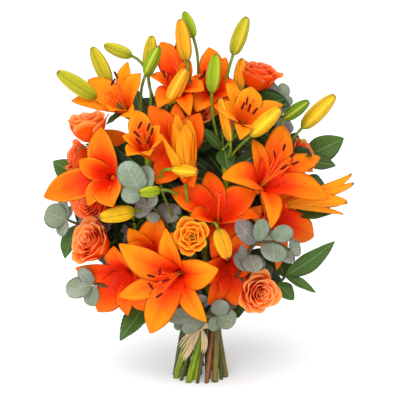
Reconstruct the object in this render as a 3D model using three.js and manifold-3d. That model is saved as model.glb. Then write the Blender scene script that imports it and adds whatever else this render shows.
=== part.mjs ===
// A hand-tied bouquet of orange lilies, roses, eucalyptus and leafy stems, in millimetres, +Z up.
// It stands unheld on its cut stems. The origin is the middle of the cut ends, on the ground, and the
// front of the bouquet faces -Y.
import * as THREE from 'three';
import { mergeVertices } from 'three/addons/utils/BufferGeometryUtils.js';
import Module from 'manifold-3d';

const wasm = await Module();
wasm.setup();

// ---------------------------------------------------------------- driving dimensions

// Heads, buds and leaves are placed by where they are seen in a square picture of the bouquet, 400
// points wide, and by how far out they stand in front of the bouquet's middle (minus is behind it).
const PICTURE_MIDDLE = 200;
const EYE_DISTANCE = 1600;
const EYE_ELEVATION = THREE.MathUtils.degToRad(12);
const EYE_AIM_HEIGHT = 238.5;
const FOCAL_LENGTH = 1230;

// Neighbours stay this far apart. Thin edges need more, and take it as a multiple.
const CLEARANCE = 0.35;
const EDGE_GROWTH = 5;

// How much of the angle to the next petal a petal fills near its root, at most up to a widest gap.
const ANGLE_SHARE = 0.42;
const ANGLE_GROWTH = 0.18;
const WIDEST_GAP = 1.6;

// How far a petal's midline runs straight on from its root and into its tip, as shares of its reach.
const ROOT_PULL = 0.38;
const TIP_PULL = 0.36;

const WAIST_HEIGHT = 77;
const STEM_SPLAY = 1.52;
const STEM_TWIST = THREE.MathUtils.degToRad(35);
const WAIST_LAG = THREE.MathUtils.degToRad(20);
const STEM_RINGS = { outer: 22.8, middle: 13.8, inner: 6.4, centre: 0 };
const STEM_RADIUS = { lily: 4.1, rose: 2.8, spray: 2.2 };
const STEM_SIDES = 5;
const STEM_OVERRUN = 0.12;
const STEM_STRAIGHT_ABOVE = 0.35;
const PEDICEL_RADIUS = 1.8;
const PEDICEL_SIDES = 4;
const PEDICEL_BEND = 0.35;
const PEDICEL_SPACING = 7;
const FLOOR_SIZE = 200;

const LILY_REACH = 76;
const LILY_LIFT = 24;
const LILY_WIDE = 18.5;
const LILY_NARROW = 13;
const LILY_HUB_RADIUS = 5;
const LILY_HUB_HEIGHT = 3;
const LILY_HUB_DEPTH = 7;
const TEPAL_THICKNESS = 1.3;
const RECEPTACLE_DEPTH = 15;
const STAMEN_COUNT = 6;
const STAMEN_LENGTH = 52;
const STAMEN_LEAN = 0.38;
const STAMEN_ROOT_RADIUS = 2.4;
const STALK_RADIUS = 0.8;
const STALK_SIDES = 3;
const ANTHER_RADIUS = 2.4;
const ANTHER_TAPER = 1.6;
const PISTIL_LENGTH = 60;

const ROSE_RADIUS = 30;
const ROSE_DEPTH = 20;
const ROSE_THICKNESS = 1.4;
const ROSE_HUB = { radius: 0.18, height: 2, depth: 0.14 };
const ROSE_HEART_SIDES = 5;
const ROSE_NECK = 26;

const CALYX = { radius: 4.5, height: 2.5, depth: 5 };
const SEPAL_COUNT = 4;
const SEPAL_TURN = 0.4;
const SEPAL_LENGTH = 22;
const SEPAL_HALF_WIDTH = 3.5;
const SEPAL_DROP = 3.5;

const LEAF_THICKNESS = 1.1;
const LEAF_ARCH = 0.12;
const LEAF_LOOK = { across: 0.5, out: 120, up: 50 };
const LEAF_BACK = 60;
const TWIG_SAMPLES = 40;
const BUD_RADIUS = 11;
const BUD_LEAST_RADIUS = 4;
const BUD_SLENDERNESS = 0.115;
const BUD_SIDES = 5;

const TIE_INNER_RADIUS = STEM_RINGS.outer + STEM_RADIUS.lily + 0.7;
const TIE_OUTER_RADIUS = TIE_INNER_RADIUS + 2.2;
const TIE_HEIGHT = 9;
const TIE_SIDES = 16;
const KNOT_RADII = [7, 4, 6];
const TAIL_HALF_WIDTH = 3;
const TAIL_THICKNESS = 1;

// ---------------------------------------------------------------- where things are

// Open and half-open lilies. px is the throat, and azimuth and elevation say which way the bloom faces.
// tips go round the bloom, wide petals and narrow petals by turns, and a third number is a tip's own
// distance out. A bloom without tips has a regular star of six, turned by roll.
const LILIES = [
  {
    name: 'lily_front_low', px: [179, 274], out: 80, azimuth: -20, elevation: -3, stamens: true,
    tips: [[118.5, 244], [118.5, 296.5], [150, 333.6], [207, 322], [218.6, 269], [166, 228]],
  },
  {
    name: 'lily_right', px: [262, 186], out: 62, azimuth: 40, elevation: 42, stamens: true,
    tips: [[221.5, 178], [252, 139], [284, 124.5], [320.5, 157], [329, 199], [271, 228.4]],
  },
  {
    name: 'lily_centre', px: [218, 219], out: 58, azimuth: 2, elevation: 50, pistil: true,
    tips: [[256, 191], [208, 171], [169.6, 190], [190, 218], [227, 243, 70], [259, 217]], width: 1.1,
  },
  {
    name: 'lily_left', px: [110, 177], out: 50, azimuth: -25, elevation: 15,
    tips: [[101, 127], [79, 160], [43.5, 197], [88, 206], [113, 207], [137, 180, 40]],
  },
  {
    name: 'lily_upper_left', px: [147, 151], out: 62, azimuth: -15, elevation: 47, stamens: true,
    tips: [[135.5, 110], [122, 136], [127, 156], [150, 156], [163, 140], [160.5, 125.5]],
    width: 0.75,
  },
  {
    name: 'lily_half_open_middle', px: [184, 172], out: 78, azimuth: -30, elevation: 80,
    tips: [
      [160, 132, 97], [172, 121, 96], [186, 122, 98], [195, 133, 84], [189, 118, 70], [176, 112, 72],
    ],
    spring: 38, curl: -62, width: 0.78,
  },
  {
    name: 'lily_half_open_right', px: [293, 203], out: 14, azimuth: 92, elevation: 10,
    tips: [
      [352, 173, 8], [354.6, 182.5, 30], [348, 203, 36], [344, 214.7, 14], [340, 205, -14], [350, 184, -14],
    ],
    spring: 20, curl: -72, width: 0.48,
  },
  {
    name: 'lily_behind_low', px: [153, 256], out: 34, azimuth: -12, elevation: 10,
    tips: [[158, 213], [128, 228], [120, 252], [146, 292], [180, 288], [190, 232]],
  },
  {
    name: 'lily_low_left', px: [129, 272], out: 28, azimuth: -30, elevation: -12,
    tips: [[114, 246], [75, 268], [98, 312], [128, 316], [154, 310], [142, 256]],
  },
  {
    name: 'lily_low_middle', px: [228, 262], out: 36, azimuth: 12, elevation: -14,
    tips: [[240, 232], [210, 236], [196, 272], [208, 305], [236, 306], [252, 270]],
  },
  {
    name: 'lily_low_right', px: [270, 214], out: -6, azimuth: 35, elevation: -5,
    tips: [[262, 176], [244, 210], [248, 244], [277, 270], [314, 237], [296, 186]],
  },
  {
    name: 'lily_middle_back', px: [181, 155], out: 34, azimuth: -6, elevation: 20,
    tips: [[149, 105.5], [138, 152], [156, 184], [194, 188], [200, 113], [176, 103]],
  },
  {
    name: 'lily_upper_right', px: [243, 122], out: 40, azimuth: 22, elevation: 45, stamens: true,
    tips: [[252, 86.7], [226, 83], [218, 110], [240, 140], [268, 132], [283, 104.6]],
    width: 0.85,
  },
  {
    name: 'lily_top_left', px: [125, 109], out: 2, azimuth: -28, elevation: 35,
    tips: [[88, 79.5], [71, 101], [110, 112], [134, 118], [141, 73], [128, 61.5]],
    width: 0.85,
  },
  {
    name: 'lily_top', px: [180, 90], out: -4, azimuth: -8, elevation: 48,
    tips: [[161, 41.6], [150, 76], [158, 108], [190, 116], [204, 91], [190, 60]],
    width: 0.85,
  },
  {
    name: 'lily_top_middle', px: [212, 92], out: -14, azimuth: 8, elevation: 40,
    tips: [[209, 47], [190, 78], [196, 112], [224, 118], [240, 92], [226, 57]],
    width: 0.8,
  },
  {
    name: 'lily_back_left', px: [150, 160], out: -78, azimuth: 205, elevation: 12, stamens: true, roll: 0,
  },
  {
    name: 'lily_back_right', px: [252, 205], out: -82, azimuth: 158, elevation: 8, pistil: true, roll: 25,
  },
  {
    name: 'lily_back_top', px: [222, 118], out: -66, azimuth: 172, elevation: 35, pistil: true, roll: 10,
  },
];

// Roses: px is the middle of the head.
const ROSES = [
  { name: 'rose_left_top', px: [88, 128], out: 31, azimuth: -60, elevation: 78 },
  { name: 'rose_top_right', px: [259, 77], out: -12, azimuth: 50, elevation: 72 },
  { name: 'rose_left_low', px: [94, 244], out: 40, azimuth: -42, elevation: 30, size: 1.1 },
  { name: 'rose_left_middle', px: [94, 203], out: 16, azimuth: -35, elevation: 14 },
  { name: 'rose_right_low', px: [257.5, 292], out: 66, azimuth: 20, elevation: 3, size: 1.05 },
  { name: 'rose_centre', px: [192, 237], out: 92, azimuth: -3, elevation: 18, size: 0.86 },
  { name: 'rose_left_back', px: [80, 160], out: -14, azimuth: -70, elevation: 20, size: 0.85 },
  { name: 'rose_right', px: [300, 157], out: -30, azimuth: 60, elevation: 24, size: 0.95 },
  { name: 'rose_top_middle', px: [198, 113], out: 5, azimuth: 8, elevation: 42, size: 0.88 },
  { name: 'rose_back_low', px: [196, 256], out: -72, azimuth: 182, elevation: 2 },
  { name: 'rose_back_left', px: [118, 205], out: -62, azimuth: 225, elevation: 12 },
];

// Lily stems: nodes are the points of the stem that carry pedicels. Each bloom and bud names the node
// that its pedicel leaves from. Buds and leaves run from base to tip. A bud that is stouter or slimmer
// than its length tells has its own radius.
const LILY_STEMS = [
  {
    name: 'lily_stem_left_top', ring: 'middle', nodes: [[150, 180, -6], [146, 121, 0]],
    blooms: { lily_top_left: 1 },
    buds: [
      { base: [96, 98, 2], tip: [57, 71.5, 8], node: 1 },
      { base: [110, 84, -14], tip: [92, 47, -20], node: 1 },
      { base: [132, 56, -20], tip: [104, 45, -28], node: 1 },
      { base: [145.5, 75, 6], tip: [159, 46, 10], node: 1 },
    ],
    leaves: [
      { base: [122, 112, 2], tip: [106, 125, 10], width: 4 },
      { base: [121, 111, 1], tip: [118, 97, -4], width: 3 },
    ],
  },
  {
    name: 'lily_stem_left', ring: 'outer', nodes: [[138, 232, -2], [132, 200, 16]],
    blooms: { lily_left: 1, lily_upper_left: 1 },
    buds: [
      { base: [135, 211, 62], tip: [99, 217.5, 74], node: 0, radius: 10.5 },
    ],
    leaves: [],
  },
  {
    name: 'lily_stem_front', ring: 'outer', nodes: [[182, 305, 32], [164, 284, 30]],
    blooms: { lily_front_low: 0, lily_low_left: 1, lily_behind_low: 1 },
    buds: [],
    leaves: [],
  },
  {
    name: 'lily_stem_centre', ring: 'outer', nodes: [[206, 284, 28], [204, 246, 30]],
    blooms: { lily_low_middle: 0, lily_centre: 1, lily_half_open_middle: 1 },
    buds: [
      { base: [218, 229, 88], tip: [227.5, 259, 100], node: 1, radius: 11 },
      { base: [160, 190, 76], tip: [139, 193, 90], node: 1 },
      { base: [172, 169, 86], tip: [198, 172, 108], node: 1, radius: 7.5 },
    ],
    leaves: [{ base: [204, 230, 22], tip: [176, 214, 62], width: 6 }],
  },
  {
    name: 'lily_stem_top', ring: 'middle', nodes: [[190, 150, -16], [190, 116, -22]],
    blooms: { lily_middle_back: 0, lily_top: 1, lily_top_middle: 1 },
    buds: [
      { base: [193.5, 38, -20], tip: [184, 11.5, -22], node: 1 },
      { base: [187, 61, 4], tip: [180, 19, -6], node: 1 },
      { base: [148.6, 76, -24], tip: [152, 35.5, -30], node: 1 },
      { base: [168, 104, 30], tip: [187, 68, 36], node: 0 },
    ],
    leaves: [],
  },
  {
    name: 'lily_stem_upper_right', ring: 'middle', nodes: [[226, 200, 4], [222, 148, 22]],
    blooms: { lily_upper_right: 1 },
    buds: [
      { base: [212, 93, 26], tip: [216, 54, 20], node: 1 },
      { base: [230, 142, 60], tip: [220, 97, 62], node: 1, radius: 6.5 },
      { base: [250, 136, 66], tip: [281, 108, 70], node: 1 },
      { base: [233, 55, -12], tip: [247, 16.6, -16], node: 1 },
      { base: [239, 92, -12], tip: [242, 58, -22], node: 1 },
    ],
    leaves: [
      { base: [222, 150, 24], tip: [200, 126, 40], width: 6 },
      { base: [224, 150, 26], tip: [228, 171, 52], width: 12 },
    ],
  },
  {
    name: 'lily_stem_right', ring: 'outer', nodes: [[262, 225, -6], [278, 175, -14], [290, 138, -4]],
    blooms: { lily_low_right: 0, lily_right: 1, lily_half_open_right: 1 },
    buds: [
      { base: [284, 119, 8], tip: [309, 101, 14], node: 2 },
      { base: [302, 128, -8], tip: [335, 95, -10], node: 2 },
    ],
    leaves: [],
  },
  {
    name: 'lily_stem_back_left', ring: 'outer', nodes: [[170, 215, -40], [176, 170, -44]],
    blooms: { lily_back_left: 0, lily_back_top: 1 },
    buds: [
      { base: [186, 108, -72], tip: [184, 72, -92], node: 1 },
      { base: [140, 108, -62], tip: [126, 80, -82], node: 1 },
    ],
    leaves: [{ base: [172, 200, -44], tip: [150, 205, -96], width: 9 }],
  },
  {
    name: 'lily_stem_back_right', ring: 'outer', nodes: [[236, 236, -40], [244, 190, -46]],
    blooms: { lily_back_right: 0 },
    buds: [
      { base: [266, 130, -66], tip: [280, 98, -84], node: 1 },
      { base: [282, 160, -78], tip: [306, 140, -98], node: 1 },
    ],
    leaves: [{ base: [238, 222, -44], tip: [226, 236, -100], width: 9 }],
  },
];

// Rose stems: via is a point that the stem passes on its way to the head.
const ROSE_STEMS = [
  { name: 'rose_stem_left_top', rose: 'rose_left_top', ring: 'middle', via: [[140, 200, 0]] },
  { name: 'rose_stem_top_right', rose: 'rose_top_right', ring: 'middle', via: [[228, 200, -20]] },
  { name: 'rose_stem_left_low', rose: 'rose_left_low', ring: 'outer', via: [[140, 275, 10]] },
  { name: 'rose_stem_left_middle', rose: 'rose_left_middle', ring: 'outer', via: [[140, 255, -8]] },
  { name: 'rose_stem_right_low', rose: 'rose_right_low', ring: 'outer', via: [[226, 306, 26]] },
  { name: 'rose_stem_centre', rose: 'rose_centre', ring: 'inner', via: [[195, 280, 34]] },
  { name: 'rose_stem_left_back', rose: 'rose_left_back', ring: 'middle', via: [[139, 218, -22]] },
  { name: 'rose_stem_right', rose: 'rose_right', ring: 'middle', via: [[250, 240, -24]] },
  { name: 'rose_stem_top_middle', rose: 'rose_top_middle', ring: 'centre', via: [[200, 200, 8]] },
  { name: 'rose_stem_back_low', rose: 'rose_back_low', ring: 'outer', via: [[208, 298, -30]] },
  { name: 'rose_stem_back_left', rose: 'rose_back_left', ring: 'outer', via: [[160, 265, -30]] },
];

// Eucalyptus and leafy sprays: the twig follows path, and each leaf grows from the point of it that is
// nearest to its tip, or to near.
const SPRAYS = [
  {
    name: 'eucalyptus_left', kind: 'eucalyptus', ring: 'outer',
    path: [[150, 275, 0], [112, 240, -2], [82, 226, 2], [68, 220, 6]],
    leaves: [
      { tip: [45, 212, 8], width: 15 }, { tip: [60, 236, 10], width: 9 },
      { tip: [80, 244, 10], width: 11 }, { tip: [62, 198, -4], width: 8 },
      { tip: [96, 228, -16], width: 12 },
    ],
  },
  {
    name: 'eucalyptus_low_left', kind: 'eucalyptus', ring: 'outer',
    path: [[160, 300, 17], [124, 290, 25], [94, 284, 34]],
    leaves: [
      { tip: [66, 292, 40], width: 13 }, { tip: [80, 268, 36], width: 9 },
      { tip: [90, 306, 38], width: 11 }, { tip: [110, 272, 18], width: 9 },
    ],
  },
  {
    name: 'eucalyptus_middle', kind: 'eucalyptus', ring: 'inner',
    path: [[178, 250, 20], [166, 224, 50], [142, 194, 73]],
    leaves: [
      { tip: [125, 161, 88], width: 16 }, { tip: [149, 166, 82], width: 12 },
      { tip: [121, 196, 84], width: 11 }, { tip: [158, 200, 80], width: 9 },
      { tip: [150, 222, 70], width: 8 },
    ],
  },
  {
    name: 'eucalyptus_right', kind: 'eucalyptus', ring: 'outer',
    path: [[232, 285, 34], [244, 262, 58], [256, 244, 70], [274, 242, 66], [290, 250, 60]],
    leaves: [
      { tip: [236, 221, 92], width: 12 }, { tip: [260, 219, 84], width: 11 },
      { tip: [287, 225, 76], width: 13 }, { tip: [301, 248, 60], width: 9 },
      { tip: [236, 266, 84], width: 13 }, { tip: [274, 262, 86], width: 17 },
      { tip: [256, 272, 82], near: [250, 253, 64], width: 13 },
    ],
  },
  {
    name: 'eucalyptus_collar', kind: 'eucalyptus', ring: 'outer',
    path: [[202, 314, 44], [216, 316, 50]],
    leaves: [
      { tip: [165, 317, 64], width: 10 }, { tip: [184, 333, 68], width: 10 },
      { tip: [236, 322, 66], width: 13 }, { tip: [224, 300, 62], width: 11 },
    ],
  },
  {
    name: 'eucalyptus_top_right', kind: 'eucalyptus', ring: 'inner',
    path: [[253, 217, -22], [272, 140, -22], [276, 104, -18]],
    leaves: [
      { tip: [266, 80, -16], width: 9 }, { tip: [293, 100, -14], width: 7 },
      { tip: [286, 84, -28], width: 9 },
    ],
  },
  {
    name: 'leafy_stem_left', kind: 'leafy', ring: 'outer',
    path: [[152, 300, -6], [104, 262, -16], [76, 215, -22], [82, 177, -26]],
    leaves: [
      { tip: [53, 161, -18], width: 16, toothed: true },
      { tip: [65, 259, 4], near: [76, 226, -22], width: 13 },
      { tip: [120, 341, 30], width: 15, toothed: true },
      { tip: [112, 308, 22], width: 10, toothed: true },
    ],
  },
  {
    name: 'leafy_stem_right', kind: 'leafy', ring: 'outer',
    path: [[232, 300, -6], [284, 278, 8], [295, 222, -12], [306, 156, -56]],
    leaves: [
      { tip: [344, 138, -52], width: 16 }, { tip: [336, 166, -44], width: 10 },
      { tip: [334, 213, 8], width: 12 }, { tip: [335, 241, 22], near: [286, 276, 8], width: 12 },
      { tip: [316, 293, 18], near: [286, 278, 8], width: 6 },
      { tip: [294, 300, 10], near: [276, 282, 6], width: 10 },
      { tip: [232, 320, 14], width: 8 }, { tip: [326, 190, -60], width: 12 },
    ],
  },
  {
    name: 'leafy_stem_back', kind: 'leafy', ring: 'outer',
    path: [[184, 270, -50], [206, 250, -60], [208, 190, -70], [206, 150, -72]],
    leaves: [
      { tip: [160, 280, -98], width: 14 }, { tip: [250, 275, -98], width: 14 },
      { tip: [168, 225, -112], width: 14 }, { tip: [214, 205, -112], width: 12 },
      { tip: [180, 150, -104], width: 13 }, { tip: [250, 150, -96], width: 13 },
      { tip: [200, 310, -88], width: 12 },
    ],
  },
];

// ---------------------------------------------------------------- places and directions

// The point seen at picture point [u, v] that stands out millimetres in front of the middle.
function seen([u, v, out]) {
  const across = (u - PICTURE_MIDDLE) / FOCAL_LENGTH;
  const up = (PICTURE_MIDDLE - v) / FOCAL_LENGTH;
  const level = Math.cos(EYE_ELEVATION);
  const fall = Math.sin(EYE_ELEVATION);
  const along = (EYE_DISTANCE * level - out) / (level + up * fall);
  const eyeHeight = EYE_AIM_HEIGHT + EYE_DISTANCE * fall;
  return new THREE.Vector3(along * across, -out, eyeHeight + along * (up * level - fall));
}

// The point of the same sight line that lies on the plane through a point, square to an axis.
function seenOnPlane([u, v], planePoint, axis) {
  const near = seen([u, v, 0]);
  const sight = seen([u, v, 1]).sub(near);
  const along = planePoint.clone().sub(near).dot(axis) / sight.dot(axis);
  return near.addScaledVector(sight, along);
}

function facing(azimuthDegrees, elevationDegrees) {
  const azimuth = THREE.MathUtils.degToRad(azimuthDegrees);
  const elevation = THREE.MathUtils.degToRad(elevationDegrees);
  const level = Math.cos(elevation);
  return new THREE.Vector3(Math.sin(azimuth) * level, -Math.cos(azimuth) * level, Math.sin(elevation));
}

function onCircle(radius, angle, height) {
  return new THREE.Vector3(radius * Math.cos(angle), radius * Math.sin(angle), height);
}

// Two directions square to an axis and to each other, the second as near to straight up as it can be.
function crossDirections(axis) {
  const helper = Math.abs(axis.z) > 0.95 ? new THREE.Vector3(0, 1, 0) : new THREE.Vector3(0, 0, 1);
  const side = helper.cross(axis).normalize();
  const upward = axis.clone().cross(side);
  return [side, upward];
}

function distanceToLine(point, linePoint, axis) {
  const offset = point.clone().sub(linePoint);
  return offset.addScaledVector(axis, -offset.dot(axis)).length();
}

// ---------------------------------------------------------------- solids

function toSolid(geometry) {
  const bare = geometry.clone();
  bare.deleteAttribute('normal');
  bare.deleteAttribute('uv');
  const merged = mergeVertices(bare, 1e-4);
  const vertProperties = new Float32Array(merged.attributes.position.array);
  const triVerts = new Uint32Array(merged.index.array);
  return new wasm.Manifold(new wasm.Mesh({ numProp: 3, vertProperties, triVerts }));
}

function toGeometry(solid) {
  const mesh = solid.getMesh();
  const geometry = new THREE.BufferGeometry();
  geometry.setAttribute('position', new THREE.BufferAttribute(new Float32Array(mesh.vertProperties), 3));
  geometry.setIndex(new THREE.BufferAttribute(new Uint32Array(mesh.triVerts), 1));
  return geometry;
}

function join(solids) {
  return solids.reduce((whole, piece) => whole.add(piece));
}

function largestBody(solid) {
  const bodies = solid.decompose();
  return bodies.reduce((best, body) => (body.volume() > best.volume() ? body : best));
}

function boxesMeet(solidA, solidB) {
  const a = solidA.boundingBox();
  const b = solidB.boundingBox();
  return [0, 1, 2].every((i) => a.min[i] <= b.max[i] && b.min[i] <= a.max[i]);
}

// The faces of a blade: a chain of four-sided sections, each with a left edge, an upper ridge, a right
// edge and a lower ridge, that ends in a point. Both of its sides are split along the same diagonals.
function bladeFaces(rings, tip) {
  const faces = [];
  for (let i = 0; i + 1 < rings.length; i += 1) {
    const [left, upper, right, lower] = rings[i];
    const [nextLeft, nextUpper, nextRight, nextLower] = rings[i + 1];
    faces.push([left, upper, nextUpper], [left, nextUpper, nextLeft]);
    faces.push([upper, right, nextUpper], [right, nextRight, nextUpper]);
    faces.push([left, nextLower, lower], [left, nextLeft, nextLower]);
    faces.push([lower, nextLower, right], [right, nextLower, nextRight]);
  }
  const [left, upper, right, lower] = rings[rings.length - 1];
  faces.push([left, upper, tip], [upper, right, tip], [left, tip, lower], [lower, tip, right]);
  return faces;
}

function solidFromFaces(points, faces) {
  const geometry = new THREE.BufferGeometry().setFromPoints(points);
  geometry.setIndex(faces.flat());
  return toSolid(geometry);
}

// The section of a blade at s along its curve, from 0 at the base to 1 at the tip. side points to the
// left edge, widths holds the half width on the left and on the right, and rise is how far an edge
// rises for each millimetre of half width.
function bladeSection(curve, side, s, widths, rise, thickness, grow) {
  const middle = curve.getPoint(s);
  const normal = curve.getTangent(s).cross(side).normalize();
  const ridge = thickness / 2 + grow;
  const [left, right] = widths;
  return [
    middle.clone().addScaledVector(side, left).addScaledVector(normal, rise * left),
    middle.clone().addScaledVector(normal, ridge),
    middle.clone().addScaledVector(side, -right).addScaledVector(normal, rise * right),
    middle.clone().addScaledVector(normal, -ridge),
  ];
}

function bladeTip(curve, grow) {
  return curve.getPoint(1).addScaledVector(curve.getTangent(1), EDGE_GROWTH * grow);
}

// A single leaf or ribbon. shape.width(s) is its half width and shape.cup(s) the rise of its edges.
function bladeAlong(curve, side, shape, grow) {
  const points = shape.stations.flatMap((s) => {
    const half = shape.width(s) + EDGE_GROWTH * grow;
    return bladeSection(curve, side, s, [half, half], shape.cup(s), shape.thickness, grow);
  });
  const rings = shape.stations.map((s, i) => [4 * i, 4 * i + 1, 4 * i + 2, 4 * i + 3]);
  const tip = points.length;
  points.push(bladeTip(curve, grow));
  const faces = [[0, 3, 1], [3, 2, 1], ...bladeFaces(rings, tip)];
  return solidFromFaces(points, faces);
}

// A whorl of petals that grow from one hub. Neighbouring petals share a corner of the hub, and each
// petal's width on either side stays inside its share of the angle to its neighbour.
function whorlSolid(hub, petals, shape, grow) {
  const { root, axis, radius, height, depth } = hub;
  const [side, upward] = crossDirections(axis);
  const spokes = petals.map((petal) => {
    const lean = petal.tip.clone().sub(root);
    const angle = Math.atan2(-lean.dot(side), lean.dot(upward));
    return { ...petal, angle };
  });
  spokes.sort((a, b) => a.angle - b.angle);
  const count = spokes.length;
  spokes.forEach((spoke, i) => {
    const next = spokes[(i + 1) % count];
    spoke.gap = (next.angle - spoke.angle + 2 * Math.PI) % (2 * Math.PI);
  });
  const around = (angle, reach, rise) => root.clone()
    .addScaledVector(upward, reach * Math.cos(angle))
    .addScaledVector(side, -reach * Math.sin(angle))
    .addScaledVector(axis, rise);
  const points = [around(0, 0, height + grow), around(0, 0, -depth - grow)];
  const [top, bottom] = [0, 1];
  spokes.forEach((spoke) => {
    spoke.corner = points.length;
    points.push(around(spoke.angle + spoke.gap / 2, radius + grow, 0));
    spoke.upper = points.length;
    points.push(around(spoke.angle, radius + grow, height + grow));
    spoke.lower = points.length;
    points.push(around(spoke.angle, radius + grow, -height - grow));
  });
  const faces = [];
  spokes.forEach((spoke, i) => {
    const before = spokes[(i + count - 1) % count];
    const { curve, side: across } = petalCurve(root, axis, spoke.tip, radius, shape.spring, shape.curl);
    const share = ANGLE_SHARE + ANGLE_GROWTH * grow;
    const slopes = [spoke.gap, before.gap].map((gap) => Math.tan(Math.min(gap, WIDEST_GAP) * share));
    const rings = [[spoke.corner, spoke.upper, before.corner, spoke.lower]];
    shape.stations.forEach((s) => {
      const away = distanceToLine(curve.getPoint(s), root, axis);
      const full = spoke.half * shape.width(s) + EDGE_GROWTH * grow;
      const widths = slopes.map((slope) => Math.min(full, away * slope));
      const first = points.length;
      points.push(...bladeSection(curve, across, s, widths, shape.cup(s), shape.thickness, grow));
      rings.push([first, first + 1, first + 2, first + 3]);
    });
    const tip = points.length;
    points.push(bladeTip(curve, grow));
    faces.push(...bladeFaces(rings, tip));
    faces.push([top, before.corner, spoke.upper], [top, spoke.upper, spoke.corner]);
    faces.push([bottom, spoke.corner, spoke.lower], [bottom, spoke.lower, before.corner]);
  });
  return solidFromFaces(points, faces);
}

function regularPolygon(radius, sides) {
  const corners = [];
  for (let i = 0; i < sides; i += 1) {
    const angle = (i / sides) * 2 * Math.PI;
    corners.push(new THREE.Vector2(radius * Math.cos(angle), radius * Math.sin(angle)));
  }
  return new THREE.Shape(corners);
}

// A smooth curve whose evenly spaced stations fall on its control points.
class StationCurve extends THREE.CatmullRomCurve3 {
  getUtoTmapping(u) {
    return u;
  }
}

function tube(points, radius, sides) {
  const extrudePath = new StationCurve(points, false, 'centripetal');
  const steps = points.length - 1;
  const section = regularPolygon(radius, sides);
  return toSolid(new THREE.ExtrudeGeometry(section, { extrudePath, steps, bevelEnabled: false }));
}

// A closed spindle through a line of points, with a radius at each, that ends in a point.
function spindle(points, radii, sides) {
  const frames = new StationCurve(points, false, 'centripetal').computeFrenetFrames(points.length - 1);
  const last = points.length - 1;
  const corners = [];
  for (let i = 0; i < last; i += 1) {
    for (let j = 0; j < sides; j += 1) {
      const angle = (j / sides) * 2 * Math.PI;
      corners.push(points[i].clone()
        .addScaledVector(frames.normals[i], radii[i] * Math.cos(angle))
        .addScaledVector(frames.binormals[i], radii[i] * Math.sin(angle)));
    }
  }
  const tip = corners.length;
  corners.push(points[last]);
  const faces = [];
  for (let j = 0; j < sides; j += 1) {
    const next = (j + 1) % sides;
    for (let i = 0; i + 1 < last; i += 1) {
      const [low, high] = [i * sides, (i + 1) * sides];
      faces.push([low + j, low + next, high + next], [low + j, high + next, high + j]);
    }
    faces.push([tip - sides + j, tip - sides + next, tip]);
  }
  for (let j = 1; j + 1 < sides; j += 1) {
    faces.push([0, j + 1, j]);
  }
  return solidFromFaces(corners, faces);
}

// A turned solid whose profile is a list of [radius, height], stood at a point along a direction.
function turned(profile, sides, point, direction) {
  const corners = profile.map(([radius, height]) => new THREE.Vector2(radius, height));
  const geometry = new THREE.LatheGeometry(corners, sides);
  const turn = new THREE.Quaternion().setFromUnitVectors(new THREE.Vector3(0, 1, 0), direction);
  geometry.applyQuaternion(turn);
  geometry.translate(point.x, point.y, point.z);
  return toSolid(geometry);
}

// ---------------------------------------------------------------- lilies

// The midline of a petal. It leaves its root, which stands off the middle of the bloom by rootRadius,
// at the spring angle from the axis, and ends at its tip at the curl angle below square to the axis.
function petalCurve(middle, axis, tip, rootRadius, springDegrees, curlDegrees) {
  const lean = tip.clone().sub(middle);
  const outward = lean.addScaledVector(axis, -lean.dot(axis)).normalize();
  const base = middle.clone().addScaledVector(outward, rootRadius);
  const spring = THREE.MathUtils.degToRad(springDegrees);
  const curl = THREE.MathUtils.degToRad(curlDegrees);
  const start = axis.clone().multiplyScalar(Math.cos(spring)).addScaledVector(outward, Math.sin(spring));
  const end = outward.clone().multiplyScalar(Math.cos(curl)).addScaledVector(axis, -Math.sin(curl));
  const reach = tip.distanceTo(base);
  const curve = new THREE.CubicBezierCurve3(
    base,
    base.clone().addScaledVector(start, reach * ROOT_PULL),
    tip.clone().addScaledVector(end, -reach * TIP_PULL),
    tip,
  );
  const side = axis.clone().cross(outward).normalize();
  return { curve, side };
}

function tepalShape(lily) {
  return {
    stations: [0.36, 0.72],
    width: (s) => Math.sin(Math.PI * s ** 0.85) ** 0.8,
    cup: (s) => 0.45 - 0.65 * s,
    thickness: TEPAL_THICKNESS,
    spring: lily.spring ?? 28,
    curl: lily.curl ?? 22,
  };
}

function lilyTips(lily, throat, axis) {
  const plane = throat.clone().addScaledVector(axis, LILY_LIFT);
  if (lily.tips) {
    return lily.tips.map((tip) => (tip.length === 3 ? seen(tip) : seenOnPlane(tip, plane, axis)));
  }
  const [side, upward] = crossDirections(axis);
  const tips = [];
  for (let i = 0; i < 6; i += 1) {
    const angle = THREE.MathUtils.degToRad(lily.roll + i * 60);
    const tip = plane.clone().addScaledVector(upward, LILY_REACH * Math.cos(angle));
    tips.push(tip.addScaledVector(side, LILY_REACH * Math.sin(angle)));
  }
  return tips;
}

// A stamen or pistil: a slim stalk that thickens into its anther or stigma.
function stalkSolid(root, direction, length, head, grow) {
  const stalk = STALK_RADIUS + grow;
  const neck = length - ANTHER_TAPER * head;
  const profile = [[0, 0], [stalk, 0], [stalk, neck], [head + grow, length], [0, length + head + grow]];
  return turned(profile, STALK_SIDES, root, direction);
}

function stamenSolids(root, axis, grow) {
  const [side, upward] = crossDirections(axis);
  const solids = [];
  for (let i = 0; i < STAMEN_COUNT; i += 1) {
    const angle = ((i + 0.5) / STAMEN_COUNT) * 2 * Math.PI;
    const outward = side.clone().multiplyScalar(Math.sin(angle)).addScaledVector(upward, Math.cos(angle));
    const direction = axis.clone().addScaledVector(outward, STAMEN_LEAN).normalize();
    const foot = root.clone().addScaledVector(outward, STAMEN_ROOT_RADIUS);
    solids.push(stalkSolid(foot, direction, STAMEN_LENGTH, ANTHER_RADIUS, grow));
  }
  return solids;
}

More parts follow.
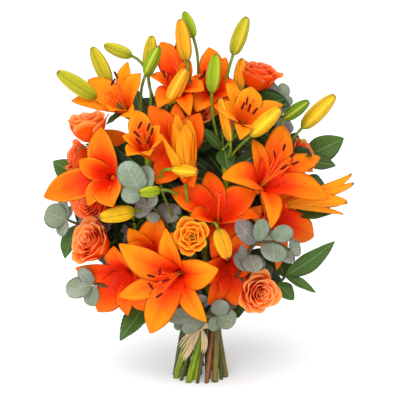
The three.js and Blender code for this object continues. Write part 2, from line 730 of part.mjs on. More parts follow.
function lilyBloom(lily, grow) {
  const throat = seen([...lily.px, lily.out]);
  const axis = facing(lily.azimuth, lily.elevation);
  const root = throat.clone().addScaledVector(axis, -LILY_HUB_DEPTH);
  const hub = {
    root, axis, radius: LILY_HUB_RADIUS, height: LILY_HUB_HEIGHT, depth: RECEPTACLE_DEPTH - LILY_HUB_DEPTH,
  };
  const petals = lilyTips(lily, throat, axis).map((tip, i) => ({
    tip, half: (i % 2 === 0 ? LILY_WIDE : LILY_NARROW) * (lily.width ?? 1),
  }));
  const solids = [whorlSolid(hub, petals, tepalShape(lily), grow)];
  if (lily.stamens) {
    solids.push(...stamenSolids(root, axis, grow));
  }
  if (lily.stamens || lily.pistil) {
    solids.push(stalkSolid(root, axis, PISTIL_LENGTH, ANTHER_RADIUS, grow));
  }
  return join(solids);
}

function lilyBack(lily) {
  const axis = facing(lily.azimuth, lily.elevation);
  return seen([...lily.px, lily.out]).addScaledVector(axis, -RECEPTACLE_DEPTH - CLEARANCE);
}

// ---------------------------------------------------------------- roses

// Two whorls of petals round a closed heart. Sizes are shares of the head's radius.
const ROSE_WHORLS = [
  {
    count: 5, sink: 0.64, reach: 1.02, height: 0.3, half: 0.62, turn: 0, spring: 55, curl: 40,
    stations: [0.5, 0.88],
  },
  {
    count: 4, sink: 0.3, reach: 0.66, height: 0.66, half: 0.46, turn: 0.6, spring: 35, curl: -35,
    stations: [0.75],
  },
];
const ROSE_HEART = [[0, -0.64], [0.1, -0.5], [0.12, -0.1], [0.27, 0.14], [0.24, 0.72], [0, 0.66]];

function roseHead(rose, grow) {
  const size = ROSE_RADIUS * (rose.size ?? 1);
  const middle = seen([...rose.px, rose.out]);
  const axis = facing(rose.azimuth, rose.elevation);
  const [side, upward] = crossDirections(axis);
  const heart = ROSE_HEART.map(([radius, height]) => [
    radius > 0 ? radius * size + grow : 0, height * size,
  ]);
  const solids = [turned(heart, ROSE_HEART_SIDES, middle, axis)];
  ROSE_WHORLS.forEach((whorl) => {
    const petals = [];
    for (let i = 0; i < whorl.count; i += 1) {
      const angle = ((i + whorl.turn) / whorl.count) * 2 * Math.PI;
      const tip = middle.clone()
        .addScaledVector(upward, whorl.reach * size * Math.cos(angle))
        .addScaledVector(side, whorl.reach * size * Math.sin(angle))
        .addScaledVector(axis, whorl.height * size);
      petals.push({ tip, half: whorl.half * size });
    }
    const root = middle.clone().addScaledVector(axis, (ROSE_HUB.depth - whorl.sink) * size);
    const hub = {
      root, axis, radius: ROSE_HUB.radius * size, height: ROSE_HUB.height, depth: ROSE_HUB.depth * size,
    };
    const shape = {
      stations: whorl.stations,
      width: () => 1,
      cup: () => 0.35,
      thickness: ROSE_THICKNESS,
      spring: whorl.spring,
      curl: whorl.curl,
    };
    solids.push(whorlSolid(hub, petals, shape, grow));
  });
  return join(solids);
}

function roseBack(rose) {
  const axis = facing(rose.azimuth, rose.elevation);
  const depth = ROSE_DEPTH * (rose.size ?? 1) + CLEARANCE;
  return seen([...rose.px, rose.out]).addScaledVector(axis, -depth);
}

// ---------------------------------------------------------------- leaves, buds and stems

// The notches of a toothed edge, just outside each tooth's point.
const TOOTH_BASES = [0.27, 0.52, 0.77];

function toothBase(s) {
  return TOOTH_BASES.includes(s);
}

const LEAF_PROFILES = {
  round: { stations: [0, 0.3, 0.8], width: (s) => 0.1 + 0.9 * Math.sin(Math.PI * s ** 0.85) ** 0.6 },
  plain: { stations: [0, 0.3, 0.7], width: (s) => 0.1 + 0.9 * Math.sin(Math.PI * s ** 0.8) ** 0.9 },
  toothed: {
    stations: [0, 0.2, 0.27, 0.45, 0.52, 0.7, 0.77],
    width: (s) => (0.1 + 0.9 * Math.sin(Math.PI * s ** 0.8) ** 0.9) * (toothBase(s) ? 0.8 : 1),
  },
};

// A leaf from base to tip that arches upward a little. Its face looks up and away from the stem.
function leafSolid(base, tip, halfWidth, profile, grow) {
  const chord = tip.clone().sub(base);
  const length = chord.length();
  const out = tip.y > LEAF_BACK ? LEAF_LOOK.out : -LEAF_LOOK.out;
  const away = new THREE.Vector3(LEAF_LOOK.across * tip.x, out, LEAF_LOOK.up).normalize();
  const side = away.clone().cross(chord).normalize();
  const face = chord.clone().cross(side).normalize();
  const bend = base.clone().addScaledVector(chord, 0.5).addScaledVector(face, length * LEAF_ARCH);
  const curve = new THREE.QuadraticBezierCurve3(base, bend, tip);
  const shape = {
    stations: profile.stations,
    width: (s) => halfWidth * profile.width(s),
    cup: () => 0.2,
    thickness: LEAF_THICKNESS,
  };
  return bladeAlong(curve, side, shape, grow);
}

// Radius of a bud as a share of its greatest radius, at shares of its length.
const BUD_PROFILE = [[0.8, 0.16], [1, 0.5], [0.66, 0.86]];

// A bud and its pedicel in one, from where it leaves the stem to the bud's tip.
function budSolid(bud, start, grow) {
  const base = seen(bud.base);
  const axis = seen(bud.tip).sub(base);
  const length = axis.length();
  const greatest = bud.radius ?? Math.min(BUD_RADIUS, BUD_LEAST_RADIUS + length * BUD_SLENDERNESS);
  const direction = axis.clone().normalize();
  const bend = base.clone().addScaledVector(direction, -base.distanceTo(start) * PEDICEL_BEND);
  const points = [start, bend, base];
  const radii = [PEDICEL_RADIUS, PEDICEL_RADIUS, PEDICEL_RADIUS];
  BUD_PROFILE.forEach(([radius, height]) => {
    points.push(base.clone().addScaledVector(axis, height));
    radii.push(radius * greatest);
  });
  points.push(seen(bud.tip).addScaledVector(direction, grow));
  return spindle(points, [...radii.map((radius) => radius + grow), 0], BUD_SIDES);
}

// Stems cross the waist in three rings, in the order of the bearings of their heads. A straight slanted
// line joins each one's place at the waist with its wider, turned place on the ground.
function dealSlots(stems) {
  Object.entries(STEM_RINGS).forEach(([ring, radius]) => {
    const members = stems.filter((stem) => stem.ring === ring);
    members.forEach((stem) => {
      const aim = stem.route[0];
      stem.bearing = Math.atan2(aim.y, aim.x);
    });
    members.sort((a, b) => a.bearing - b.bearing);
    const step = (2 * Math.PI) / members.length;
    const drift = members.map((stem, i) => stem.bearing - i * step);
    const sines = drift.reduce((sum, angle) => sum + Math.sin(angle), 0);
    const cosines = drift.reduce((sum, angle) => sum + Math.cos(angle), 0);
    const start = Math.atan2(sines, cosines) - WAIST_LAG;
    members.forEach((stem, i) => {
      stem.slot = { radius, angle: start + i * step };
    });
  });
}

// Where a stem's straight lower part is at a height.
function slotAt(stem, height) {
  const { radius, angle } = stem.slot;
  const waist = onCircle(radius, angle, WAIST_HEIGHT);
  const foot = onCircle(radius * STEM_SPLAY, angle - STEM_TWIST, 0);
  return foot.lerp(waist, height / WAIST_HEIGHT);
}

function stemPoints(stem) {
  const waist = slotAt(stem, WAIST_HEIGHT);
  const foot = slotAt(stem, 0);
  const rise = waist.clone().sub(foot);
  return [
    foot.addScaledVector(rise, -STEM_OVERRUN),
    waist,
    waist.clone().addScaledVector(rise, STEM_STRAIGHT_ABOVE),
    ...stem.route,
  ];
}

const floorBlock = toSolid(new THREE.BoxGeometry(FLOOR_SIZE, FLOOR_SIZE, FLOOR_SIZE)
  .translate(0, 0, -FLOOR_SIZE / 2));

function mainStem(stem, radius, grow) {
  return tube(stemPoints(stem), radius + grow, STEM_SIDES).subtract(floorBlock);
}

// A pedicel runs from the stem to the back of a bloom, and ends along the bloom's axis.
function pedicel(start, end, axis, grow) {
  const bend = end.clone().addScaledVector(axis, -end.distanceTo(start) * PEDICEL_BEND);
  return tube([start, bend, end], PEDICEL_RADIUS + grow, PEDICEL_SIDES);
}

// Pedicels of one node leave the stem one below the other.
function lilyStemSkeleton(stem, grow) {
  const solids = [mainStem(stem, STEM_RADIUS.lily, grow)];
  const route = stemPoints(stem);
  const firstNode = route.length - stem.nodes.length;
  const used = stem.nodes.map(() => 0);
  const nextStart = (node) => {
    const [below, joint] = route.slice(firstNode + node - 1, firstNode + node + 1);
    const down = below.clone().sub(joint).normalize();
    used[node] += 1;
    return joint.clone().addScaledVector(down, (used[node] - 0.5) * PEDICEL_SPACING);
  };
  Object.entries(stem.blooms).forEach(([name, node]) => {
    const lily = LILIES.find((one) => one.name === name);
    const axis = facing(lily.azimuth, lily.elevation);
    solids.push(pedicel(nextStart(node), lilyBack(lily), axis, grow));
  });
  stem.buds.forEach((bud) => {
    solids.push(budSolid(bud, nextStart(bud.node), grow));
  });
  return join(solids);
}

function lilyStemFlesh(stem, grow) {
  if (!stem.leaves.length) return null;
  return join(stem.leaves.map((leaf) => (
    leafSolid(seen(leaf.base), seen(leaf.tip), leaf.width, LEAF_PROFILES.plain, grow))));
}

function roseStemSkeleton(stem, grow) {
  return mainStem(stem, STEM_RADIUS.rose, grow);
}

// Sepals that spread under the head.
function roseStemFlesh(stem, grow) {
  const rose = ROSES.find((one) => one.name === stem.rose);
  const axis = facing(rose.azimuth, rose.elevation);
  const [side, upward] = crossDirections(axis);
  const root = roseBack(rose).addScaledVector(axis, -SEPAL_DROP);
  const petals = [];
  for (let i = 0; i < SEPAL_COUNT; i += 1) {
    const angle = ((i + SEPAL_TURN) / SEPAL_COUNT) * 2 * Math.PI;
    const tip = root.clone()
      .addScaledVector(axis, -2)
      .addScaledVector(upward, SEPAL_LENGTH * Math.cos(angle))
      .addScaledVector(side, SEPAL_LENGTH * Math.sin(angle));
    petals.push({ tip, half: SEPAL_HALF_WIDTH });
  }
  const hub = { root, axis, ...CALYX };
  const shape = {
    stations: [0.4],
    width: () => 1,
    cup: () => 0.2,
    thickness: LEAF_THICKNESS,
    spring: 80,
    curl: 25,
  };
  return whorlSolid(hub, petals, shape, grow);
}

function spraySkeleton(spray, grow) {
  return mainStem(spray, STEM_RADIUS.spray, grow);
}

function nearestOn(points, target) {
  const curve = new THREE.CatmullRomCurve3(points, false, 'centripetal');
  const samples = curve.getSpacedPoints(TWIG_SAMPLES);
  return samples.reduce((best, point) => (
    point.distanceTo(target) < best.distanceTo(target) ? point : best));
}

function sprayFlesh(spray, grow) {
  const leaves = spray.leaves.map((leaf) => {
    const tip = seen(leaf.tip);
    const base = nearestOn(spray.route, leaf.near ? seen(leaf.near) : tip);
    const green = leaf.toothed ? LEAF_PROFILES.toothed : LEAF_PROFILES.plain;
    const profile = spray.kind === 'eucalyptus' ? LEAF_PROFILES.round : green;
    return leafSolid(base, tip, leaf.width, profile, grow);
  });
  return join(leaves);
}

// ---------------------------------------------------------------- raffia tie

const KNOT_PLACE = [199, 326, TIE_OUTER_RADIUS + 1.5];
const TIE_TAILS = [
  [[199, 327, 33], [190, 344, 38], [183, 358, 43]],
  [[198, 327, 33], [184, 334, 36], [176, 341, 38]],
  [[200, 328, 33], [207, 340, 38], [206, 356, 42]],
];

function tieSolid(grow) {
  const low = WAIST_HEIGHT - TIE_HEIGHT / 2;
  const high = WAIST_HEIGHT + TIE_HEIGHT / 2;
  const band = [
    new THREE.Vector2(TIE_INNER_RADIUS - grow, low - grow),
    new THREE.Vector2(TIE_OUTER_RADIUS + grow, low - grow),
    new THREE.Vector2(TIE_OUTER_RADIUS + grow, high + grow),
    new THREE.Vector2(TIE_INNER_RADIUS - grow, high + grow),
    new THREE.Vector2(TIE_INNER_RADIUS - grow, low - grow),
  ];
  const ring = new THREE.LatheGeometry(band, TIE_SIDES).rotateX(Math.PI / 2);
  const knot = new THREE.SphereGeometry(1, 6, 4).scale(...KNOT_RADII.map((radius) => radius + grow));
  knot.translate(...seen(KNOT_PLACE));
  const tails = TIE_TAILS.map((points) => {
    const curve = new THREE.CatmullRomCurve3(points.map(seen), false, 'centripetal');
    const side = new THREE.Vector3(-0.9, 0, 0.4).normalize();
    const shape = {
      stations: [0, 0.45, 0.9],
      width: () => TAIL_HALF_WIDTH,
      cup: () => 0.1,
      thickness: TAIL_THICKNESS,
    };
    return bladeAlong(curve, side, shape, grow);
  });
  return join([toSolid(ring), toSolid(knot), ...tails]);
}

// ---------------------------------------------------------------- the bouquet

function finish(color, roughness) {
  return new THREE.MeshStandardMaterial({ color, roughness, metalness: 0 });
}

const FINISHES = {
  lily: () => finish(0xff7a0c, 0.45),
  rose: () => finish(0xff6a3a, 0.6),
  lilyStem: () => finish(0x7fa32a, 0.4),
  roseStem: () => finish(0x3f6a28, 0.5),
  eucalyptus: () => finish(0x8fa596, 0.6),
  leafy: () => finish(0x3c6b26, 0.45),
  raffia: () => finish(0xe8cfa0, 0.8),
};

LILY_STEMS.forEach((stem) => {
  stem.route = stem.nodes.map(seen);
});
ROSE_STEMS.forEach((stem) => {
  const rose = ROSES.find((one) => one.name === stem.rose);
  const axis = facing(rose.azimuth, rose.elevation);
  const end = roseBack(rose).addScaledVector(axis, -SEPAL_DROP);
  stem.route = [...stem.via.map(seen), end.clone().addScaledVector(axis, -ROSE_NECK), end];
});
SPRAYS.forEach((spray) => {
  spray.route = spray.path.map(seen);
});
dealSlots([...LILY_STEMS, ...ROSE_STEMS, ...SPRAYS]);

// Every node, the one with the right of way first. Its skeleton is whole, and its flesh gives way to
// the skeletons of all the others and to the flesh of those before it.
const nodes = [
  {
    name: 'raffia_tie',
    group: 'tie',
    finish: 'raffia',
    place: new THREE.Vector3(0, 0, WAIST_HEIGHT),
    skeleton: (grow) => tieSolid(grow),
  },
  ...LILIES.map((lily) => ({
    name: lily.name,
    group: 'heads',
    finish: 'lily',
    place: seen([...lily.px, lily.out]),
    flesh: (grow) => lilyBloom(lily, grow),
  })),
  ...ROSES.map((rose) => ({
    name: rose.name,
    group: 'heads',
    finish: 'rose',
    place: seen([...rose.px, rose.out]),
    flesh: (grow) => roseHead(rose, grow),
  })),
  ...LILY_STEMS.map((stem) => ({
    name: stem.name,
    group: 'stems',
    finish: 'lilyStem',
    place: slotAt(stem, WAIST_HEIGHT),
    skeleton: (grow) => lilyStemSkeleton(stem, grow),
    flesh: (grow) => lilyStemFlesh(stem, grow),
  })),
  ...ROSE_STEMS.map((stem) => ({
    name: stem.name,
    group: 'stems',
    finish: 'roseStem',
    place: slotAt(stem, WAIST_HEIGHT),
    skeleton: (grow) => roseStemSkeleton(stem, grow),
    flesh: (grow) => roseStemFlesh(stem, grow),
  })),
  ...SPRAYS.map((spray) => ({
    name: spray.name,
    group: 'stems',
    finish: spray.kind === 'eucalyptus' ? 'eucalyptus' : 'leafy',
    place: slotAt(spray, WAIST_HEIGHT),
    skeleton: (grow) => spraySkeleton(spray, grow),
    flesh: (grow) => sprayFlesh(spray, grow),
  })),
];

nodes.forEach((node) => {
  node.bones = node.skeleton ? node.skeleton(0) : null;
  node.wideBones = node.skeleton ? node.skeleton(CLEARANCE) : null;
  node.soft = node.flesh ? node.flesh(0) : null;
  node.wideSoft = node.flesh ? node.flesh(CLEARANCE) : null;
});

function clearOf(solid, obstacle) {
  return obstacle && boxesMeet(solid, obstacle) ? solid.subtract(obstacle) : solid;
}

nodes.forEach((node, rank) => {
  let soft = node.soft;
  nodes.forEach((other, otherRank) => {
    if (soft && other !== node) soft = clearOf(soft, other.wideBones);
    if (soft && otherRank < rank) soft = clearOf(soft, other.wideSoft);
  });
  const parts = [node.bones, soft].filter(Boolean);
  node.solid = largestBody(join(parts));
});

const bouquet = new THREE.Group();
const groups = { tie: new THREE.Group(), heads: new THREE.Group(), stems: new THREE.Group() };
bouquet.add(...Object.values(groups));
nodes.forEach((node) => {
  const geometry = toGeometry(node.solid.translate(node.place.clone().negate().toArray()));
  const mesh = new THREE.Mesh(geometry, FINISHES[node.finish]());
  mesh.name = node.name;
  mesh.position.copy(node.place);
  groups[node.group].add(mesh);
});

export default bouquet;
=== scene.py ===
"""The looks of a hand-tied bouquet of orange lilies, roses, eucalyptus and leafy stems.

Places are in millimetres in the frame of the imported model: the origin is the middle of the cut stem
ends, +Z is up and the front faces -Y. Meshes are made in metres.
"""
import math
import random
from dataclasses import dataclass

import bpy
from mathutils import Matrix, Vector


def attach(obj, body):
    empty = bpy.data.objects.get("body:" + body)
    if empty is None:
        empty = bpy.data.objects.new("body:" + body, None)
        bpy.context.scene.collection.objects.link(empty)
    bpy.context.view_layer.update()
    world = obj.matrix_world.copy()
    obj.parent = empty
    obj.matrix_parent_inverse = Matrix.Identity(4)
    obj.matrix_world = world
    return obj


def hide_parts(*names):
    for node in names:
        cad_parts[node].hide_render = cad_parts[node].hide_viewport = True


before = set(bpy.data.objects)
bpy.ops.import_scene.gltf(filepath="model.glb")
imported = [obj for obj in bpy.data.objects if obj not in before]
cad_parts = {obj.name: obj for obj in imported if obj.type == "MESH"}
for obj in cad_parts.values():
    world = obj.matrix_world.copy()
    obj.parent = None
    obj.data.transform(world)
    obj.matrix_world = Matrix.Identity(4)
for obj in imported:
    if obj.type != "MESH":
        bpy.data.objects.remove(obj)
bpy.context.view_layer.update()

MM = 0.001
chance = random.Random(7)

# ---------------------------------------------------------------- driving dimensions

# Heads, buds and leaves are placed by where they are seen in a square picture of the bouquet, 400
# points wide, and by how far out they stand in front of the bouquet's middle (minus is behind it).
PICTURE_MIDDLE = 200
PICTURE_WIDTH = 400
EYE_DISTANCE = 1600
EYE_ELEVATION = math.radians(12)
EYE_AIM_HEIGHT = 238.5
FOCAL_LENGTH = 1230
SENSOR_WIDTH = 36
# One turn in radians, as the random draws and the waves of the edges take it.
TURN = 6.28

WAIST_HEIGHT = 77
STEM_SPLAY = 1.52
STEM_TWIST = math.radians(35)
WAIST_LAG = math.radians(20)
STEM_RINGS = dict(outer=22.8, middle=13.8, inner=6.4, centre=0)
STEM_RADIUS = dict(lily=4.1, rose=2.8, spray=2.2)
STEM_STRAIGHT_ABOVE = 0.35
PEDICEL_RADIUS = 1.8
PEDICEL_BEND = 0.35
PEDICEL_SPACING = 7
TWIG_SAMPLES = 40

LILY_REACH = 76
LILY_LIFT = 24
LILY_WIDE = 19.5
LILY_NARROW = 13.5
LILY_LAYER = 0.9
TEPAL_ROLL = 0.12
LILY_HUB_RADIUS = 3.5
LILY_HUB_DEPTH = 7
RECEPTACLE_DEPTH = 15
RECEPTACLE = [(0, 0), (2.2, 0.6), (3.8, 3), (4.4, 5.5), (3, 7.4), (0, 7.6)]
TEPAL_THICKNESS = 1.1
ROOT_PULL = 0.38
TIP_PULL = 0.36
STAMEN_COUNT = 6
STAMEN_LENGTH = 50
STAMEN_LEAN = 0.38
STAMEN_ROOT_RADIUS = 2.4
FILAMENT_RADIUS = 0.9
ANTHER_LENGTH = 11
ANTHER_RADIUS = 1.7
ANTHER_LIFT = 40
ANTHER_SHAPE = [(0, 0), (0.75, 0.08), (1, 0.3), (0.95, 0.7), (0.7, 0.93), (0, 1)]
PISTIL_LENGTH = 58
PISTIL_RADIUS = 1.7
STIGMA = [(0, 0), (1.6, 0.6), (2.4, 2.2), (1.6, 3.2), (0, 3.4)]

ROSE_RADIUS = 30
ROSE_DEPTH = 20
ROSE_PETALS = 20
ROSE_PETAL_THICKNESS = 0.45
ROSE_PETAL_TURN = 2.4
ROSE_NECK = 26
ROSE_CUP = [(0, -0.66), (0.09, -0.62), (0.16, -0.5), (0.14, -0.3), (0, -0.25)]
SEPAL_COUNT = 5
SEPAL_LENGTH = 22
SEPAL_HALF_WIDTH = 3.5
SEPAL_DROP = 3.5
SEPAL_ROOT_RADIUS = 3
SEPAL_SPRING = 70
SEPAL_CURL = 25
HIP = [(0, 0), (2.6, 0.4), (4.2, 3), (4.6, 6), (3.6, 8), (0, 8.4)]
HIP_DROP = 5

LEAF_THICKNESS = 0.8
LEAF_ARCH = 0.12
# A leaf faces forward and up and a little outward, or back and up where its tip is behind LEAF_BACK.
LEAF_BACK = 60
LEAF_OUT = 120
LEAF_ACROSS = 0.5
LEAF_UP = 50
# The main leaves of the eucalyptus are this much wider than their widths in the table.
EUCALYPTUS_WIDENING = 1.12
BUD_RADIUS = 11
BUD_LEAST_RADIUS = 4
BUD_SLENDERNESS = 0.115
# The radius and height of a bud, as shares of its greatest radius and its length.
BUD_SHAPE = [
    (0, 0), (0.24, 0.004), (0.48, 0.04), (0.7, 0.1), (0.88, 0.2), (0.98, 0.33), (1, 0.47),
    (0.95, 0.61), (0.84, 0.74), (0.69, 0.85), (0.52, 0.93), (0.36, 0.975), (0.16, 0.995), (0, 1),
]

# The leaves that close the gaps between the heads stay in this rounded body and behind every head.
CROWN_MIDDLE = Vector((0, 5, 262))
CROWN_REACH = Vector((160, 115, 176))
FILL_LOWEST = 92
FILL_TRIES = 24
# Where on its stem such a leaf starts, how far it leans along the stem, and where on it is tested.
FILL_STARTS = (0.4, 0.97)
FILL_LEANS = (0.2, 0.9)
FILL_SPOTS = (0.35, 0.7, 1.0)
LILY_PLAIN_REACH = 48
HEAD_THICKNESS = 16
FILL_KINDS = dict(
    lily=dict(blade="plain", length=(52, 80), width=(8, 12), count=26),
    rose=dict(blade="toothed", length=(42, 60), width=(14, 19), count=20),
    leafy=dict(blade="plain", length=(45, 68), width=(11, 16), count=22),
    eucalyptus=dict(blade="round", length=(26, 38), width=(12, 17), count=18),
)

TIE_RADIUS = STEM_RINGS["outer"] + STEM_RADIUS["lily"] + 1.6
TIE_WINDINGS = 7
TIE_HALF_HEIGHT = 3.6
TIE_TILT = 2.5
TIE_STRAND = dict(half_width=1.4, thickness=0.9)
KNOT_PLACE = [199, 326, TIE_RADIUS + 2]
KNOT_LOOPS = 6
KNOT_REACH = 6.5
KNOT_BULGE = Vector((0, -4.5, 0))
KNOT_STRAND = dict(half_width=2.2, thickness=0.8)
TAIL_HALF_WIDTHS = (0.7, 1.4)
TAIL_THICKNESS = 0.5
# Each tail is where its strands start, bend and end, how many they are, and how far they fan out.
TIE_TAILS = [
    dict(points=[[200, 327, 33], [194, 340, 39], [185, 358, 43]], strands=14, fan=7),
    dict(points=[[198, 327, 33], [188, 333, 37], [180, 345, 39]], strands=5, fan=4),
    dict(points=[[201, 328, 33], [206, 338, 38], [204, 352, 42]], strands=5, fan=5),
]

# The faces along and across each kind of body, and round each turned one.
TEPAL_GRID = (18, 5)
ROSE_PETAL_GRID = (14, 10)
SEPAL_GRID = (8, 2)
LEAF_ROWS = dict(plain=14, toothed=42, round=16)
LEAF_COLUMNS = 4
FILAMENT_GRID = (8, 6)
PISTIL_GRID = (10, 7)
STEM_GRID = (72, 12)
PEDICEL_GRID = (10, 8)
TIE_GRID = (48, 2)
KNOT_GRID = (12, 2)
TAIL_GRID = (16, 2)
ANTHER_SIDES = 8
BUD_SIDES = 30
ROUND_SIDES = 12

FLOOR_SIZE = 600
FLOOR_GLOW = 0.2
SUN_DIRECTION = (-0.15, -0.5, 1.0)
SUN_STRENGTH = 2.1
SUN_SPREAD = math.radians(60)
# Places and size of the fill light, in metres, and its power.
FILL_PLACE = (-0.5, -1.6, 0.7)
FILL_TARGET = (0, 0, 0.27)
FILL_SIZE = 1.0
FILL_POWER = 12
SKY_STRENGTH = 0.72

# ---------------------------------------------------------------- places and directions


def seen(place):
    """The point seen at picture point (u, v) that stands out millimetres in front of the middle."""
    u, v, out = place
    across = (u - PICTURE_MIDDLE) / FOCAL_LENGTH
    up = (PICTURE_MIDDLE - v) / FOCAL_LENGTH
    level = math.cos(EYE_ELEVATION)
    fall = math.sin(EYE_ELEVATION)
    along = (EYE_DISTANCE * level - out) / (level + up * fall)
    eye_height = EYE_AIM_HEIGHT + EYE_DISTANCE * fall
    return Vector((along * across, -out, eye_height + along * (up * level - fall)))


def seen_on_plane(spot, plane_point, axis):
    near = seen([*spot[:2], 0])
    sight = seen([*spot[:2], 1]) - near
    return near + sight * ((plane_point - near).dot(axis) / sight.dot(axis))


def facing(azimuth_degrees, elevation_degrees):
    azimuth = math.radians(azimuth_degrees)
    elevation = math.radians(elevation_degrees)
    level = math.cos(elevation)
    return Vector((math.sin(azimuth) * level, -math.cos(azimuth) * level, math.sin(elevation)))


def toward_eye():
    return Vector((0, -math.cos(EYE_ELEVATION), math.sin(EYE_ELEVATION)))


def on_circle(radius, angle, height):
    return Vector((radius * math.cos(angle), radius * math.sin(angle), height))


def around(first, second, angle):
    """The direction that turns from the first direction at 0 toward the second."""
    return first * math.cos(angle) + second * math.sin(angle)


def square_to(axis, lean):
    """The direction of the part of lean that is square to the axis."""
    return (lean - axis * lean.dot(axis)).normalized()


def cross_directions(axis):
    """Two directions square to an axis and to each other, the second as near to up as it can be."""
    helper = Vector((0, 1, 0)) if abs(axis.z) > 0.95 else Vector((0, 0, 1))
    side = helper.cross(axis).normalized()
    return side, axis.cross(side)


def any_turn():
    return chance.uniform(0, TURN)


def bezier(*points):
    """The point and direction at s of the Bezier curve of these control points."""
    def at(s):
        work = list(points)
        while len(work) > 2:
            work = [a.lerp(b, s) for a, b in zip(work, work[1:])]
        return work[0].lerp(work[1], s), (work[1] - work[0]).normalized()
    return at


def smooth_curve(points):
    """The point and direction at s of a centripetal Catmull-Rom curve through the points."""
    ends = [points[0] * 2 - points[1], *points, points[-1] * 2 - points[-2]]

    def place(s):
        span = min(int(s * (len(points) - 1)), len(points) - 2)
        t = s * (len(points) - 1) - span
        p0, p1, p2, p3 = ends[span:span + 4]
        d0, d1, d2 = (max(math.sqrt((b - a).length), 1e-4) for a, b in ((p0, p1), (p1, p2), (p2, p3)))
        leave = ((p1 - p0) / d0 - (p2 - p0) / (d0 + d1) + (p2 - p1) / d1) * d1
        reach = ((p2 - p1) / d1 - (p3 - p1) / (d1 + d2) + (p3 - p2) / d2) * d1
        bend = (p2 - p1) * 3 - leave * 2 - reach
        twist = (p1 - p2) * 2 + leave + reach
        return p1 + leave * t + bend * t * t + twist * t * t * t

    def at(s):
        step = 1e-3
        low, high = max(s - step, 0), min(s + step, 1)
        return place(s), (place(high) - place(low)).normalized()
    return at


# ---------------------------------------------------------------- where things are


@dataclass
class Head:
    """A bloom: the place of its middle, and the bearing and height of the way it faces."""
    name: str
    place: list
    azimuth: float
    elevation: float

    def __post_init__(self):
        self.middle = seen(self.place)
        self.axis = facing(self.azimuth, self.elevation)


@dataclass
class Lily(Head):
    """Tone runs from golden to deep red, rim is how yellow the edges are and dark how brown the tips
    are. Tips are the places of the petal tips, and roll turns the petals where these don't show.
    Anthers are the middles and slopes of those that show, and stamens puts in six all round. A lily
    with either has a pistil too."""
    tone: float
    rim: float = 0.0
    dark: float = 0.0
    width: float = 1
    spring: float = 28
    curl: float = 22
    roll: float = 0
    blunt: bool = False
    stamens: bool = False
    pistil: bool = False
    tips: tuple = ()
    anthers: tuple = ()


@dataclass
class Rose(Head):
    """The ring at the waist and the place passed are those of its stem. Opening is how far the outer
    petals have opened, from a cup to 1."""
    ring: str
    via: list
    size: float = 1
    opening: float = 1.0
    yellow: float = 0.0
    coral: float = 0.0

    def root(self):
        return self.middle - self.axis * ROSE_DEPTH * self.size - self.axis * SEPAL_DROP


@dataclass
class Bud:
    """A bud from base to tip on a node of its stem. Hue runs from green at 0 to orange-yellow at 1."""
    base: list
    tip: list
    node: int
    hue: float
    radius: float = None


@dataclass
class Leaf:
    """A leaf by its tip and half width, on its base, or on the point of its spray nearest to near or
    to its tip. Dusk is how purple brown it is, drawn where it isn't given."""
    tip: list
    width: float
    base: list = None
    near: list = None
    kind: str = "plain"
    dusk: float = None


@dataclass
class Stem:
    """A stem by its ring at the waist and the places that it passes above it, which are its nodes."""
    name: str
    ring: str
    path: list

    def __post_init__(self):
        self.kind = self.name.split("_")[0]
        self.route = [seen(place) for place in self.path]

    def points(self):
        """From the foot through the waist, straight on for a little, and along the route."""
        radius, angle = self.slot
        waist = on_circle(radius, angle, WAIST_HEIGHT)
        foot = on_circle(radius * STEM_SPLAY, angle - STEM_TWIST, 0)
        above = waist + (waist - foot) * STEM_STRAIGHT_ABOVE
        return [foot, foot.lerp(waist, 0.5), waist, above, *self.route]


@dataclass
class LilyStem(Stem):
    """The blooms and buds of a lily stem stand on its nodes."""
    blooms: dict
    buds: tuple = ()
    leaves: tuple = ()


@dataclass
class Spray(Stem):
    """A twig of eucalyptus or a leafy stem, with its leaves."""
    leaves: tuple = ()
    small_leaves: tuple = ()


